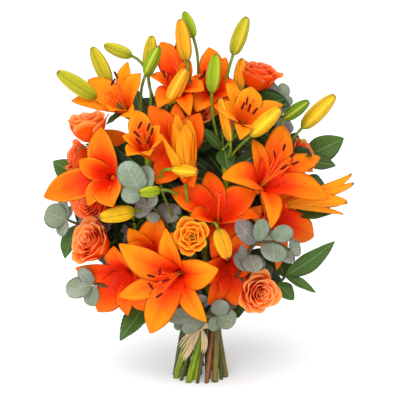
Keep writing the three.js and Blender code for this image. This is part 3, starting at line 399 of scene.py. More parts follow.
LILIES = [
    Lily(
        "lily_front_low", [179, 274, 80], -20, -3, tone=-0.1,
        tips=[[118.5, 244], [118.5, 296.5], [150, 333.6], [207, 322], [218.6, 269], [166, 228]],
        anthers=[
            (151, 276, -15), (160, 271.5, 84), (165.5, 280.5, 20), (150.7, 286, -55), (159.4, 295.4, 35),
        ],
    ),
    Lily(
        "lily_right", [262, 186, 62], 40, 42, tone=0.1,
        tips=[[221.5, 178], [252, 139], [284, 124.5], [320.5, 157], [329, 199], [271, 228.4]],
        anthers=[
            (274.7, 154.6, -79), (284, 147.5, 73), (292.3, 155, 43), (295, 163.3, 27), (284, 167.3, 38),
        ],
    ),
    Lily(
        "lily_centre", [218, 219, 58], 2, 50, tone=0.85, rim=0.3, width=1.1, pistil=True,
        tips=[[256, 191], [208, 171], [169.6, 190], [190, 218], [227, 243, 70], [259, 217]],
    ),
    Lily(
        "lily_left", [110, 177, 50], -25, 15, tone=0.6, rim=0.5,
        tips=[[101, 127], [79, 160], [43.5, 197], [88, 206], [113, 207], [137, 180, 40]],
    ),
    Lily(
        "lily_upper_left", [147, 151, 62], -15, 47, tone=-0.1, rim=1.0, width=0.75,
        tips=[[135.5, 110], [122, 136], [127, 156], [150, 156], [163, 140], [160.5, 125.5]],
        anthers=[
            (140, 125, 63), (136.7, 134, -48), (148.6, 127, 73), (138.4, 141.3, -50), (151.8, 131.6, 75),
            (148.6, 140.3, 75),
        ],
    ),
    Lily(
        "lily_half_open_middle", [184, 172, 78], -30, 80, tone=-1.0, rim=0.4,
        dark=0.8, width=0.78, spring=38, curl=-62,
        tips=[
            [160, 132, 97], [172, 121, 96], [186, 122, 98], [195, 133, 84], [189, 118, 70], [176, 112, 72],
        ],
    ),
    Lily(
        "lily_half_open_right", [293, 203, 14], 92, 10, tone=-0.85, rim=0.4,
        dark=0.9, blunt=True, width=0.48, spring=20, curl=-72,
        tips=[
            [352, 173, 8], [354.6, 182.5, 30], [348, 203, 36], [344, 214.7, 14], [340, 205, -14],
            [350, 184, -14],
        ],
    ),
    Lily(
        "lily_behind_low", [153, 256, 34], -12, 10, tone=0.15,
        tips=[[158, 213], [128, 228], [120, 252], [146, 292], [180, 288], [190, 232]],
    ),
    Lily(
        "lily_low_left", [129, 272, 28], -30, -12, tone=0.75,
        tips=[[114, 246], [75, 268], [98, 312], [128, 316], [154, 310], [142, 256]],
    ),
    # Its deep red tone is partly the lily's own colour and partly painted shade, as it sits deep in the
    # bouquet.
    Lily(
        "lily_low_middle", [228, 262, 36], 12, -14, tone=0.95,
        tips=[[240, 232], [210, 236], [196, 272], [208, 305], [236, 306], [252, 270]],
    ),
    Lily(
        "lily_low_right", [270, 214, -6], 35, -5, tone=0.6,
        tips=[[262, 176], [244, 210], [248, 244], [277, 270], [314, 237], [296, 186]],
    ),
    Lily(
        "lily_middle_back", [181, 155, 34], -6, 20, tone=0.8,
        tips=[[149, 105.5], [138, 152], [156, 184], [194, 188], [200, 113], [176, 103]],
    ),
    Lily(
        "lily_upper_right", [243, 122, 40], 22, 45, tone=-0.65, rim=0.8, width=0.85,
        tips=[[252, 86.7], [226, 83], [218, 110], [240, 140], [268, 132], [283, 104.6]],
        anthers=[(242.9, 106, 66), (249.2, 108, 72), (255, 111.2, 50), (247, 101, 78)],
    ),
    Lily(
        "lily_top_left", [125, 109, 2], -28, 35, tone=-0.6, dark=0.5, width=0.85,
        tips=[[88, 79.5], [71, 101], [110, 112], [134, 118], [141, 73], [128, 61.5]],
        anthers=[(116, 75, -65), (113, 82, 60)],
    ),
    Lily(
        "lily_top", [180, 90, -4], -8, 48, tone=0.5, width=0.85,
        tips=[[161, 41.6], [150, 76], [158, 108], [190, 116], [204, 91], [190, 60]],
        anthers=[(176, 45.5, 80), (164, 74, -70), (168, 77, 80)],
    ),
    Lily(
        "lily_top_middle", [212, 92, -14], 8, 40, tone=0.45, width=0.8,
        tips=[[209, 47], [190, 78], [196, 112], [224, 118], [240, 92], [226, 57]],
        anthers=[(204, 74, 75), (200, 79, 62)],
    ),
    Lily("lily_back_left", [150, 160, -78], 205, 12, tone=0.3, roll=0, stamens=True),
    Lily("lily_back_right", [252, 205, -82], 158, 8, tone=0.55, roll=25, stamens=True),
    Lily("lily_back_top", [222, 118, -66], 172, 35, tone=0.4, roll=10, stamens=True),
]

ROSES = [
    Rose("rose_left_top", [88, 128, 31], -60, 78, "middle", [140, 200, 0], opening=0.3),
    Rose("rose_top_right", [259, 77, -12], 50, 72, "middle", [228, 200, -20], opening=0.7, coral=1),
    Rose("rose_left_low", [94, 244, 40], -42, 30, "outer", [140, 275, 10], size=1.1, opening=0.4),
    Rose("rose_left_middle", [94, 203, 16], -35, 14, "outer", [140, 255, -8], opening=0.5, coral=1),
    Rose("rose_right_low", [257.5, 292, 66], 20, 3, "outer", [226, 306, 26], size=1.05, opening=0.75),
    Rose("rose_centre", [192, 237, 92], -3, 18, "inner", [195, 280, 34], size=0.86, yellow=1),
    Rose(
        "rose_left_back", [80, 160, -14], -70, 20, "middle", [139, 218, -22],
        size=0.85, opening=0.3, coral=1,
    ),
    Rose("rose_right", [300, 157, -30], 60, 24, "middle", [250, 240, -24], size=0.95, coral=1),
    Rose("rose_top_middle", [198, 113, 5], 8, 42, "centre", [200, 200, 8], size=0.88),
    Rose("rose_back_low", [196, 256, -72], 182, 2, "outer", [208, 298, -30]),
    Rose("rose_back_left", [118, 205, -62], 225, 12, "outer", [160, 265, -30], opening=0.5),
]

LILY_STEMS = [
    LilyStem(
        "lily_stem_left_top", "middle", [[150, 180, -6], [146, 121, 0]], {"lily_top_left": 1},
        buds=[
            Bud([96, 98, 2], [57, 71.5, 8], 1, 0.42), Bud([110, 84, -14], [92, 47, -20], 1, 0.55),
            Bud([132, 56, -20], [104, 45, -28], 1, 0.45), Bud([145.5, 75, 6], [159, 46, 10], 1, 0.15),
        ],
        leaves=[Leaf([106, 125, 10], 4, base=[122, 112, 2]), Leaf([118, 97, -4], 3, base=[121, 111, 1])],
    ),
    LilyStem(
        "lily_stem_left", "outer", [[138, 232, -2], [132, 200, 16]], {"lily_left": 1, "lily_upper_left": 1},
        buds=[Bud([135, 211, 62], [99, 217.5, 74], 0, 0.72, radius=10.5)],
    ),
    LilyStem(
        "lily_stem_front", "outer", [[182, 305, 32], [164, 284, 30]],
        {"lily_front_low": 0, "lily_low_left": 1, "lily_behind_low": 1},
    ),
    LilyStem(
        "lily_stem_centre", "outer", [[206, 284, 28], [204, 246, 30]],
        {"lily_low_middle": 0, "lily_centre": 1, "lily_half_open_middle": 1},
        buds=[
            Bud([218, 229, 88], [227.5, 259, 100], 1, 0.95, radius=11),
            Bud([160, 190, 76], [139, 193, 90], 1, 0.3),
            Bud([172, 169, 86], [198, 172, 108], 1, 0.85, radius=7.5),
        ],
        leaves=[Leaf([176, 214, 62], 6, base=[204, 230, 22])],
    ),
    LilyStem(
        "lily_stem_top", "middle", [[190, 150, -16], [190, 116, -22]],
        {"lily_middle_back": 0, "lily_top": 1, "lily_top_middle": 1},
        buds=[
            Bud([193.5, 38, -20], [184, 11.5, -22], 1, 0.2), Bud([187, 61, 4], [180, 19, -6], 1, 0.95),
            Bud([148.6, 76, -24], [152, 35.5, -30], 1, 0.6), Bud([168, 104, 30], [187, 68, 36], 0, 0.95),
        ],
    ),
    LilyStem(
        "lily_stem_upper_right", "middle", [[226, 200, 4], [222, 148, 22]], {"lily_upper_right": 1},
        buds=[
            Bud([212, 93, 26], [216, 54, 20], 1, 0.2),
            Bud([230, 142, 60], [220, 97, 62], 1, 1.0, radius=6.5),
            Bud([250, 136, 66], [281, 108, 70], 1, 0.72), Bud([233, 55, -12], [247, 16.6, -16], 1, 0.52),
            Bud([239, 92, -12], [242, 58, -22], 1, 1.0),
        ],
        leaves=[
            Leaf([200, 126, 40], 6, base=[222, 150, 24]), Leaf([228, 171, 52], 12, base=[224, 150, 26]),
        ],
    ),
    LilyStem(
        "lily_stem_right", "outer", [[262, 225, -6], [278, 175, -14], [290, 138, -4]],
        {"lily_low_right": 0, "lily_right": 1, "lily_half_open_right": 1},
        buds=[Bud([284, 119, 8], [309, 101, 14], 2, 0.02), Bud([302, 128, -8], [335, 95, -10], 2, 0.66)],
    ),
    LilyStem(
        "lily_stem_back_left", "outer", [[170, 215, -40], [176, 170, -44]],
        {"lily_back_left": 0, "lily_back_top": 1},
        buds=[Bud([186, 108, -72], [184, 72, -92], 1, 0.4), Bud([140, 108, -62], [126, 80, -82], 1, 0.8)],
        leaves=[Leaf([150, 205, -96], 9, base=[172, 200, -44])],
    ),
    LilyStem(
        "lily_stem_back_right", "outer", [[236, 236, -40], [244, 190, -46]], {"lily_back_right": 0},
        buds=[Bud([266, 130, -66], [280, 98, -84], 1, 0.2), Bud([282, 160, -78], [306, 140, -98], 1, 0.7)],
        leaves=[Leaf([226, 236, -100], 9, base=[238, 222, -44])],
    ),
]

SPRAYS = [
    Spray(
        "eucalyptus_left", "outer", [[150, 275, 0], [112, 240, -2], [82, 226, 2], [68, 220, 6]],
        leaves=[
            Leaf([45, 212, 8], 15), Leaf([60, 236, 10], 9), Leaf([80, 244, 10], 11), Leaf([62, 198, -4], 8),
            Leaf([96, 228, -16], 12),
        ],
        small_leaves=[Leaf([72, 206, 0], 6, dusk=0.7), Leaf([90, 214, 0], 8, dusk=0.5)],
    ),
    Spray(
        "eucalyptus_low_left", "outer", [[160, 300, 17], [124, 290, 25], [94, 284, 34]],
        leaves=[
            Leaf([66, 292, 40], 13, dusk=0.0), Leaf([80, 268, 36], 9, dusk=0.3),
            Leaf([90, 306, 38], 11, dusk=0.1), Leaf([110, 272, 18], 9, dusk=0.5),
        ],
    ),
    Spray(
        "eucalyptus_middle", "inner", [[178, 250, 20], [166, 224, 50], [142, 194, 73]],
        leaves=[
            Leaf([125, 161, 88], 16, dusk=0.0), Leaf([149, 166, 82], 12, dusk=0.15),
            Leaf([121, 196, 84], 11, dusk=0.1), Leaf([158, 200, 80], 9, dusk=0.6),
            Leaf([150, 222, 70], 8, dusk=0.6),
        ],
    ),
    Spray(
        "eucalyptus_right", "outer",
        [[232, 285, 34], [244, 262, 58], [256, 244, 70], [274, 242, 66], [290, 250, 60]],
        leaves=[
            Leaf([236, 221, 92], 12, dusk=0.95), Leaf([260, 219, 84], 11, dusk=0.0),
            Leaf([287, 225, 76], 13, dusk=0.1), Leaf([301, 248, 60], 9, dusk=0.2),
            Leaf([236, 266, 84], 13, dusk=0.75), Leaf([274, 262, 86], 17, dusk=0.25),
            Leaf([256, 272, 82], 13, near=[250, 253, 64], dusk=0.6),
        ],
        small_leaves=[
            Leaf([268, 230, 68], 10, dusk=0.3), Leaf([264, 270, 66], 13, dusk=0.8),
            Leaf([238, 252, 70], 12, dusk=0.95), Leaf([284, 262, 60], 11, dusk=0.7),
            Leaf([297, 240, 56], 8, dusk=0.3), Leaf([250, 232, 72], 9, dusk=0.5),
        ],
    ),
    Spray(
        "eucalyptus_collar", "outer", [[202, 314, 44], [216, 316, 50]],
        leaves=[
            Leaf([165, 317, 64], 10, dusk=0.15), Leaf([184, 333, 68], 10, dusk=0.0),
            Leaf([236, 322, 66], 13, dusk=0.0), Leaf([224, 300, 62], 11, dusk=0.5),
        ],
        small_leaves=[
            Leaf([174, 328, 58], 9, dusk=0.1), Leaf([196, 330, 62], 8, dusk=0.2),
            Leaf([212, 331, 62], 8, dusk=0.0), Leaf([232, 308, 54], 9, dusk=0.7),
        ],
    ),
    Spray(
        "eucalyptus_top_right", "inner", [[253, 217, -22], [272, 140, -22], [276, 104, -18]],
        leaves=[Leaf([266, 80, -16], 9), Leaf([293, 100, -14], 7), Leaf([286, 84, -28], 9)],
    ),
    Spray(
        "leafy_stem_left", "outer", [[152, 300, -6], [104, 262, -16], [76, 215, -22], [82, 177, -26]],
        leaves=[
            Leaf([53, 161, -18], 16, kind="toothed"), Leaf([65, 259, 4], 13, near=[76, 226, -22]),
            Leaf([120, 341, 30], 15, kind="toothed"), Leaf([112, 308, 22], 10, kind="toothed"),
        ],
    ),
    Spray(
        "leafy_stem_right", "outer", [[232, 300, -6], [284, 278, 8], [295, 222, -12], [306, 156, -56]],
        leaves=[
            Leaf([344, 138, -52], 16), Leaf([336, 166, -44], 10), Leaf([334, 213, 8], 12),
            Leaf([335, 241, 22], 12, near=[286, 276, 8]), Leaf([316, 293, 18], 6, near=[286, 278, 8]),
            Leaf([294, 300, 10], 10, near=[276, 282, 6]), Leaf([232, 320, 14], 8),
            Leaf([326, 190, -60], 12),
        ],
    ),
    Spray(
        "leafy_stem_back", "outer", [[184, 270, -50], [206, 250, -60], [208, 190, -70], [206, 150, -72]],
        leaves=[
            Leaf([160, 280, -98], 14), Leaf([250, 275, -98], 14), Leaf([168, 225, -112], 14),
            Leaf([214, 205, -112], 12), Leaf([180, 150, -104], 13), Leaf([250, 150, -96], 13),
            Leaf([200, 310, -88], 12),
        ],
    ),
]


def stem_of(rose):
    """The stem of a rose, which meets its head along the head's axis."""
    stem = Stem(rose.name.replace("rose", "rose_stem"), rose.ring, [rose.via])
    stem.route += [rose.root() - rose.axis * ROSE_NECK, rose.root()]
    stem.rose = rose
    return stem


ROSE_STEMS = [stem_of(rose) for rose in ROSES]
STEMS = [*LILY_STEMS, *ROSE_STEMS, *SPRAYS]
# Every head, and how far the leaves inside the bouquet keep from its middle.
HEADS = [(lily, LILY_PLAIN_REACH) for lily in LILIES] + [(rose, ROSE_RADIUS) for rose in ROSES]

# ---------------------------------------------------------------- meshes


class Form:
    """The closed bodies of one piece. Each point has a place on its body (along, across, face) and
    the body's own tint."""

    def __init__(self):
        self.points = []
        self.faces = []
        self.places = []
        self.tints = []

    def add(self, point, place, tint):
        self.points.append(point)
        self.places.append(place)
        self.tints.append(tint)
        return len(self.points) - 1

    def bridge(self, rings):
        for ring, following in zip(rings, rings[1:]):
            for i in range(len(ring)):
                j = (i + 1) % len(ring)
                self.faces.append((ring[i], ring[j], following[j], following[i]))

    def fan(self, ring, point, place, tint):
        """Closes the end of a round body with a point."""
        middle = self.add(point, place, tint)
        for i, corner in enumerate(ring):
            self.faces.append((ring[i - 1], corner, middle))

    def zip_shut(self, ring):
        """Closes the flat end of a blade, whose two sides are the two halves of the ring."""
        half = len(ring) // 2
        for i in range(1, half):
            quad = (ring[i - 1], ring[i], ring[-i], ring[(len(ring) - i + 1) % len(ring)])
            self.faces.append(quad if i > 1 else (ring[0], ring[1], ring[-1]))
        self.faces.append((ring[half - 1], ring[half], ring[half + 1]))

    def shell(self, surface, rows, columns, thickness, tint, pointed=True):
        """A thin closed blade whose middle is surface(s, t), with s from 0 at the base to 1 at the
        tip and t from -1 to 1 across it. Its edges are thin, and a pointed one ends in one point."""
        rings = []
        last = rows if pointed else rows + 1
        for i in range(last):
            s = 1 - (1 - i / rows) ** 1.25
            ring = []
            for k in range(4 * columns):
                upper = k <= 2 * columns
                t = k / columns - 1 if upper else 3 - k / columns
                step_s = surface(min(s + 0.01, 1), t) - surface(max(s - 0.01, 0), t)
                step_t = surface(s, min(t + 0.05, 1)) - surface(s, max(t - 0.05, -1))
                normal = step_s.cross(step_t).normalized()
                half = thickness / 2 * math.sqrt(max(0, 1 - t * t)) * (1 - 0.5 * s)
                face = 0 if abs(t) == 1 else (1 if upper else -1)
                ring.append(self.add(surface(s, t) + normal * half * face, (s, t, face), tint))
            rings.append(ring)
        self.bridge(rings)
        self.zip_shut(rings[0])
        if pointed:
            self.fan(rings[-1], surface(1, 0), (1, 0, 0), tint)
        else:
            self.zip_shut(rings[-1])

    def tube(self, curve, radius, rows, sides, tint, on_floor=False):
        """A round closed body along a curve, whose radius at s is radius(s)."""
        turn, _ = cross_directions(curve(0)[1])
        rings = []
        for i in range(rows + 1):
            s = i / rows
            middle, direction = curve(s)
            turn = square_to(direction, turn)
            other = direction.cross(turn)
            ring = []
            for k in range(sides):
                point = middle + around(turn, other, 2 * math.pi * k / sides) * radius(s)
                if on_floor and i == 0:
                    point -= direction * (point.z / direction.z)
                ring.append(self.add(point, (s, k / sides, 0), tint))
            rings.append(ring)
        self.bridge(rings)
        self.fan(rings[0], curve(0)[0], (0, 0, 1), tint)
        self.fan(rings[-1], curve(1)[0], (1, 0, 0), tint)

    def turned(self, base, axis, profile, sides, tint, lobes=0, depth=0.0):
        """A closed body round an axis, whose profile is a list of (radius, height). Lobes are full
        ribs round it, with grooves of that depth between them."""
        side, upward = cross_directions(axis)
        rings = []
        for radius, height in profile[1:-1]:
            ring = []
            for k in range(sides):
                angle = 2 * math.pi * k / sides
                groove = abs(math.sin(lobes * angle / 2)) if lobes else 1
                reach = radius * (1 - depth * (1 - groove) ** 3)
                point = base + axis * height + around(side, upward, angle) * reach
                ring.append(self.add(point, (height / profile[-1][1], groove, 0), tint))
            rings.append(ring)
        self.bridge(rings)
        self.fan(rings[0], base + axis * profile[0][1], (0, 1, 0), tint)
        self.fan(rings[-1], base + axis * profile[-1][1], (1, 1, 0), tint)


def make_piece(name, form, material, slot, *nodes):
    """The mesh of a form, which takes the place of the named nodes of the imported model."""
    mesh = bpy.data.meshes.new(name)
    mesh.from_pydata([point * MM for point in form.points], [], form.faces)
    for attribute, values in (("place", form.places), ("tint", form.tints)):
        layer = mesh.attributes.new(attribute, "FLOAT_VECTOR", "POINT")
        layer.data.foreach_set("vector", [number for value in values for number in value])
    mesh.shade_smooth()
    mesh.materials.append(material)
    piece = bpy.data.objects.new(name, mesh)
    bpy.context.scene.collection.objects.link(piece)
    bpy.context.view_layer.objects.active = piece
    bpy.ops.object.select_all(action="DESELECT")
    piece.select_set(True)
    bpy.ops.object.mode_set(mode="EDIT")
    bpy.ops.mesh.select_all(action="SELECT")
    bpy.ops.mesh.normals_make_consistent(inside=False)
    bpy.ops.object.mode_set(mode="OBJECT")
    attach(piece, "root")
    if nodes:
        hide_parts(*nodes)


# ---------------------------------------------------------------- materials


class Paint:
    """A material whose colour and bump are worked out by nodes, one coat of colour over another."""

    def __init__(self, name, roughness, gloss=0.5, base=None):
        self.colour = base
        self.material = bpy.data.materials.new(name)
        self.material.use_nodes = True
        self.tree = self.material.node_tree
        self.shader = self.tree.nodes["Principled BSDF"]
        self.shader.inputs["Roughness"].default_value = roughness
        self.shader.inputs["Specular IOR Level"].default_value = gloss

    def node(self, kind, inputs, **settings):
        """A node whose inputs are sockets, numbers or colours."""
        node = self.tree.nodes.new(kind)
        for key, value in settings.items():
            setattr(node, key, value)
        for key, value in inputs.items():
            if isinstance(value, bpy.types.NodeSocket):
                self.tree.links.new(value, node.inputs[key])
            else:
                node.inputs[key].default_value = (*value, 1) if isinstance(value, tuple) else value
        return node

    def attribute(self, name):
        return self.node("ShaderNodeAttribute", {}, attribute_name=name, attribute_type="GEOMETRY").outputs

    def parts(self, name):
        return self.node("ShaderNodeSeparateXYZ", {0: self.attribute(name)["Vector"]}).outputs

    def math(self, operation, a, b=0.0):
        return self.node("ShaderNodeMath", {0: a, 1: b}, operation=operation).outputs[0]

    def times(self, a, b):
        return self.math("MULTIPLY", a, b)

    def plus(self, a, b):
        return self.math("ADD", a, b)

    def minus(self, a, b):
        return self.math("SUBTRACT", a, b)

    def fit(self, value, low, high, to_low=0.0, to_high=1.0):
        inputs = {"Value": value, "From Min": low, "From Max": high, "To Min": to_low, "To Max": to_high}
        return self.node("ShaderNodeMapRange", inputs, interpolation_type="SMOOTHSTEP").outputs[0]

    def mix(self, factor, a, b):
        return self.node("ShaderNodeMix", {0: factor, 6: a, 7: b}, data_type="RGBA").outputs[2]

    def blend(self, factor, colour):
        """Mixes a share of a colour into what is there."""
        self.colour = self.mix(factor, self.colour, colour)

    def coat(self, colour, value, start, full, share=1.0):
        """Mixes in a colour, from nothing where value is at start to the share where it is at full."""
        self.blend(self.fit(value, start, full, 0.0, share), colour)

    def noise(self, vector, scale, detail):
        inputs = {"Vector": vector, "Scale": scale, "Detail": detail}
        return self.node("ShaderNodeTexNoise", inputs).outputs[0]

    def stretched(self, across, share, along):
        """The place on the body, with its width scaled by the share."""
        width = self.times(across, share)
        return self.node("ShaderNodeCombineXYZ", {0: width, 1: along, 2: 0.0}).outputs[0]

    def streaks(self, across, fineness, along, scale):
        """Noise drawn out along the body."""
        return self.noise(self.stretched(across, fineness, along), scale, 3.0)

    def spots(self, across, share, along, scale):
        inputs = {"Vector": self.stretched(across, share, along), "Scale": scale}
        return self.node("ShaderNodeTexVoronoi", inputs).outputs["Distance"]

    def side_veins(self, along, count, edge, slant):
        """Lines that slant forward from the midrib, 0 on a line and 0.5 halfway between two."""
        place = self.minus(self.times(along, count), self.times(edge, slant))
        return self.math("PINGPONG", place, 0.5)

    def object_noise(self, scale, detail=2.0):
        coordinates = self.node("ShaderNodeTexCoord", {})
        return self.noise(coordinates.outputs["Object"], scale, detail)

    def bump(self, height, distance):
        node = self.node("ShaderNodeBump", {"Height": height, "Distance": distance})
        self.tree.links.new(node.outputs[0], self.shader.inputs["Normal"])

    def finish(self, glow=0.0):
        """Sets the colour, and lets a share of the light through where glow is above 0."""
        self.tree.links.new(self.colour, self.shader.inputs["Base Color"])
        if glow:
            through = self.node("ShaderNodeBsdfTranslucent", {0: self.colour}).outputs[0]
            both = self.node("ShaderNodeMixShader", {0: glow, 1: self.shader.outputs[0], 2: through})
            self.tree.links.new(both.outputs[0], self.tree.nodes["Material Output"].inputs[0])
        return self.material


GOLD = (1.0, 0.33, 0.002)
PALE_GOLD = (1.0, 0.46, 0.012)
ORANGE = (1.0, 0.18, 0.001)
RED_ORANGE = (1.0, 0.055, 0.0)
DEEP_ORANGE = (0.8, 0.035, 0.001)
DEEP_RED = (0.8, 0.012, 0.0)
LINE_RED = (0.75, 0.03, 0.0)
BACK_ORANGE = (1.0, 0.32, 0.01)
YELLOW = (1.0, 0.56, 0.03)
MAROON = (0.09, 0.006, 0.003)
BROWN = (0.12, 0.05, 0.015)


def lily_petal_material():
    """Golden tips over orange to a red throat, with dark spots near it and fine veins along."""
    paint = Paint("lily_petal", roughness=0.5, gloss=0.12, base=DEEP_RED)
    along, across, face = paint.parts("place")
    tone, rim, dark = paint.parts("tint")
    edge = paint.math("ABSOLUTE", across)
    mottle = paint.object_noise(60.0)
    reach = paint.plus(along, paint.times(edge, 0.16))
    reach = paint.plus(reach, paint.times(paint.minus(mottle, 0.5), 0.25))
    reach = paint.minus(reach, paint.times(tone, 0.2))
    paint.coat(RED_ORANGE, reach, 0.14, 0.48)
    paint.coat(ORANGE, reach, 0.32, 0.66)
    tip = paint.mix(paint.fit(tone, 0.2, 1.0), GOLD, ORANGE)
    paint.coat(tip, reach, 0.5, 0.95)
    midline = paint.times(paint.fit(edge, 0.07, 0.0, 0.0, 0.6), paint.fit(along, 0.85, 0.3))
    paint.blend(midline, LINE_RED)
    deep = paint.times(paint.fit(tone, 0.55, 1.0), paint.fit(reach, 0.3, 0.75, 0.6, 0.15))
    paint.blend(deep, DEEP_ORANGE)
    paint.blend(paint.times(paint.fit(edge, 0.72, 1.0), rim), YELLOW)
    paint.blend(paint.times(paint.fit(face, 0.0, -1.0), 0.45), BACK_ORANGE)
    paint.coat(PALE_GOLD, tone, -0.4, -1.0, 0.75)
    vein = paint.streaks(across, 9.0, along, 2.2)
    paint.coat(RED_ORANGE, vein, 0.62, 0.42, 0.22)
    spot = paint.fit(paint.spots(across, 0.4, along, 26.0), 0.3, 0.2)
    zone = paint.times(paint.fit(along, 0.1, 0.16), paint.fit(along, 0.4, 0.3))
    zone = paint.times(zone, paint.fit(face, 0.0, 1.0))
    paint.blend(paint.times(spot, zone), MAROON)
    paint.blend(paint.times(paint.fit(along, 0.93, 1.0), dark), BROWN)
    paint.bump(vein, 0.0008)
    return paint.finish(glow=0.3)


def filament_material():
    """Green-gold at the root to orange-red, with a dark joint at the anther."""
    root, upper = (0.5, 0.32, 0.02), (0.95, 0.16, 0.01)
    paint = Paint("filament", roughness=0.5, gloss=0.15, base=root)
    along, _, _ = paint.parts("place")
    paint.coat(upper, along, 0.0, 0.5)
    paint.coat(RED_ORANGE, paint.object_noise(300.0), 0.5, 0.8)
    paint.coat(MAROON, along, 0.92, 0.97)
    return paint.finish(glow=0.1)


def anther_material():
    """Dark maroon with grains of red-brown pollen."""
    dark, pollen = (0.05, 0.004, 0.003), (0.2, 0.016, 0.006)
    paint = Paint("anther", roughness=0.8, gloss=0.1, base=dark)
    grain = paint.object_noise(900.0)
    paint.coat(pollen, grain, 0.4, 0.7)
    paint.bump(grain, 0.0004)
    return paint.finish()


def rose_petal_material():
    """Orange-red depths and a coral heart to peach outer petals with pale rims, where coral makes it redder
    and yellow turns it yellow-orange. The pale rims are partly the petals' own paler edges and partly a
    painted highlight."""
    paint = Paint("rose_petal", roughness=0.6, gloss=0.12)
    along, across, face = paint.parts("place")
    yellow, openness, coral = paint.parts("tint")
    depths = paint.mix(yellow, (1.0, 0.15, 0.001), (1.0, 0.11, 0.0))
    outside = paint.mix(coral, (1.0, 0.54, 0.1), (1.0, 0.38, 0.07))
    heart = paint.mix(coral, (1.0, 0.3, 0.015), (1.0, 0.2, 0.015))
    body = paint.mix(paint.fit(openness, 0.35, 0.8), heart, outside)
    body = paint.mix(yellow, body, (1.0, 0.49, 0.006))
    # Pale rims: partly the petals' own colour, partly a painted highlight along the edges.
    rim = paint.mix(coral, (1.0, 0.7, 0.34), (1.0, 0.5, 0.24))
    rim = paint.mix(yellow, rim, (1.0, 0.8, 0.08))
    paint.colour = depths
    paint.coat(body, along, 0.72, 0.92)
    paint.coat(rim, along, 0.9, 1.0)
    blush = paint.times(paint.fit(along, 0.93, 1.0), paint.fit(openness, 0.6, 1.0))
    blush = paint.times(blush, paint.fit(yellow, 1.0, 0.0))
    blush = paint.times(blush, paint.fit(coral, 0.0, 1.0, 0.15, 0.6))
    paint.blend(blush, (0.95, 0.2, 0.09))
    back = paint.times(paint.fit(face, 0.0, -1.0), paint.fit(openness, 0.5, 1.0))
    peach = paint.mix(yellow, (1.0, 0.46, 0.13), (1.0, 0.5, 0.05))
    paint.blend(paint.times(back, 0.5), peach)
    vein = paint.streaks(across, 8.0, along, 3.0)
    paint.coat(depths, vein, 0.62, 0.42, 0.18)
    paint.bump(vein, 0.0005)
    return paint.finish(glow=0.6)


def bud_material():
    """Green to orange-yellow by the bud's own hue, greener at the base, with painted shade in its seams and
    faint furrows and a painted highlight on the crest of each lobe.
    """
    green = (0.1, 0.23, 0.008)
    paint = Paint("bud", roughness=0.38, gloss=0.14, base=green)
    along, groove, _ = paint.parts("place")
    hue, _, _ = paint.parts("tint")
    ripening = [(0.27, 0.4, 0.01), (0.44, 0.37, 0.012), (0.82, 0.42, 0.003), (0.88, 0.27, 0.005)]
    for i, riper in enumerate(ripening):
        paint.coat(riper, hue, i / 4, (i + 1) / 4)
    green_base, blotch, painted_furrow_shade = (0.22, 0.33, 0.015), (0.26, 0.28, 0.01), (0.22, 0.21, 0.01)
    # Colours of the painted highlight on the lobe crests and of the painted shade in the seams.
    painted_crest_highlight, painted_seam_shade = (0.8, 0.6, 0.05), (0.13, 0.09, 0.01)
    paint.coat(green_base, along, 0.34, 0.0, 0.6)
    mottle = paint.object_noise(140.0, 4.0)
    paint.coat(blotch, mottle, 0.4, 0.75, 0.4)
    rib = paint.math("PINGPONG", paint.times(groove, 2.6), 0.5)
    # Painted shade in the faint furrows between the ribs.
    paint.coat(painted_furrow_shade, rib, 0.25, 0.0, 0.25)
    # Painted highlight along the crest of each lobe.
    paint.coat(painted_crest_highlight, groove, 0.93, 1.0, 0.4)
    # Painted shade along the seams between the lobes.
    paint.coat(painted_seam_shade, groove, 0.12, 0.0, 0.7)
    paint.coat(BROWN, along, 0.93, 1.0, 0.8)
    paint.bump(paint.plus(paint.fit(rib, 0.0, 0.3), mottle), 0.0006)
    return paint.finish()


def stem_material():
    """The stem's own colour, which is its tint, streaked along, with a pale cut end."""
    shade, cut_end = (0.035, 0.045, 0.008), (0.5, 0.55, 0.25)
    paint = Paint("stem", roughness=0.35, gloss=0.2)
    along, round_it, cut = paint.parts("place")
    paint.colour = paint.attribute("tint")["Color"]
    streak = paint.streaks(round_it, 9.0, along, 3.0)
    mottle = paint.object_noise(120.0, 4.0)
    streak = paint.plus(paint.times(streak, 0.6), paint.times(mottle, 0.4))
    paint.coat(shade, streak, 0.42, 0.6, 0.55)
    paint.coat(cut_end, cut, 0.0, 0.6)
    paint.bump(streak, 0.0006)
    return paint.finish()


def leaf_material():
    """Green blades with a pale midrib and side veins. The tint darkens the green, a little at random on the
    leaves of the stems and much more as painted shade on the leaves inside the bouquet.
    """
    fresh, dark, blotch = (0.07, 0.15, 0.02), (0.008, 0.022, 0.004), (0.018, 0.05, 0.008)
    withered, pale_line, pale_back = (0.1, 0.07, 0.035), (0.14, 0.25, 0.06), (0.13, 0.21, 0.06)
    paint = Paint("leaf", roughness=0.42, gloss=0.22)
    along, across, face = paint.parts("place")
    shade, brown, _ = paint.parts("tint")
    edge = paint.math("ABSOLUTE", across)
    # The first share of the tint mixes in dark green: a random tone on most leaves, painted shade on those
    # inside the bouquet.
    paint.colour = paint.mix(shade, fresh, dark)
    mottle = paint.object_noise(90.0, 4.0)
    paint.coat(blotch, mottle, 0.35, 0.75, 0.4)
    paint.blend(paint.times(brown, 0.8), withered)
    vein = paint.side_veins(along, 9.0, edge, 2.2)
    line = paint.fit(vein, 0.08, 0.0, 0.0, 0.35)
    rib = paint.fit(edge, 0.09, 0.02)
    paint.blend(paint.math("MAXIMUM", line, rib), pale_line)
    paint.coat(pale_back, face, 0.0, -1.0, 0.4)
    paint.bump(paint.math("MINIMUM", vein, 0.2), 0.0008)
    return paint.finish(glow=0.12)


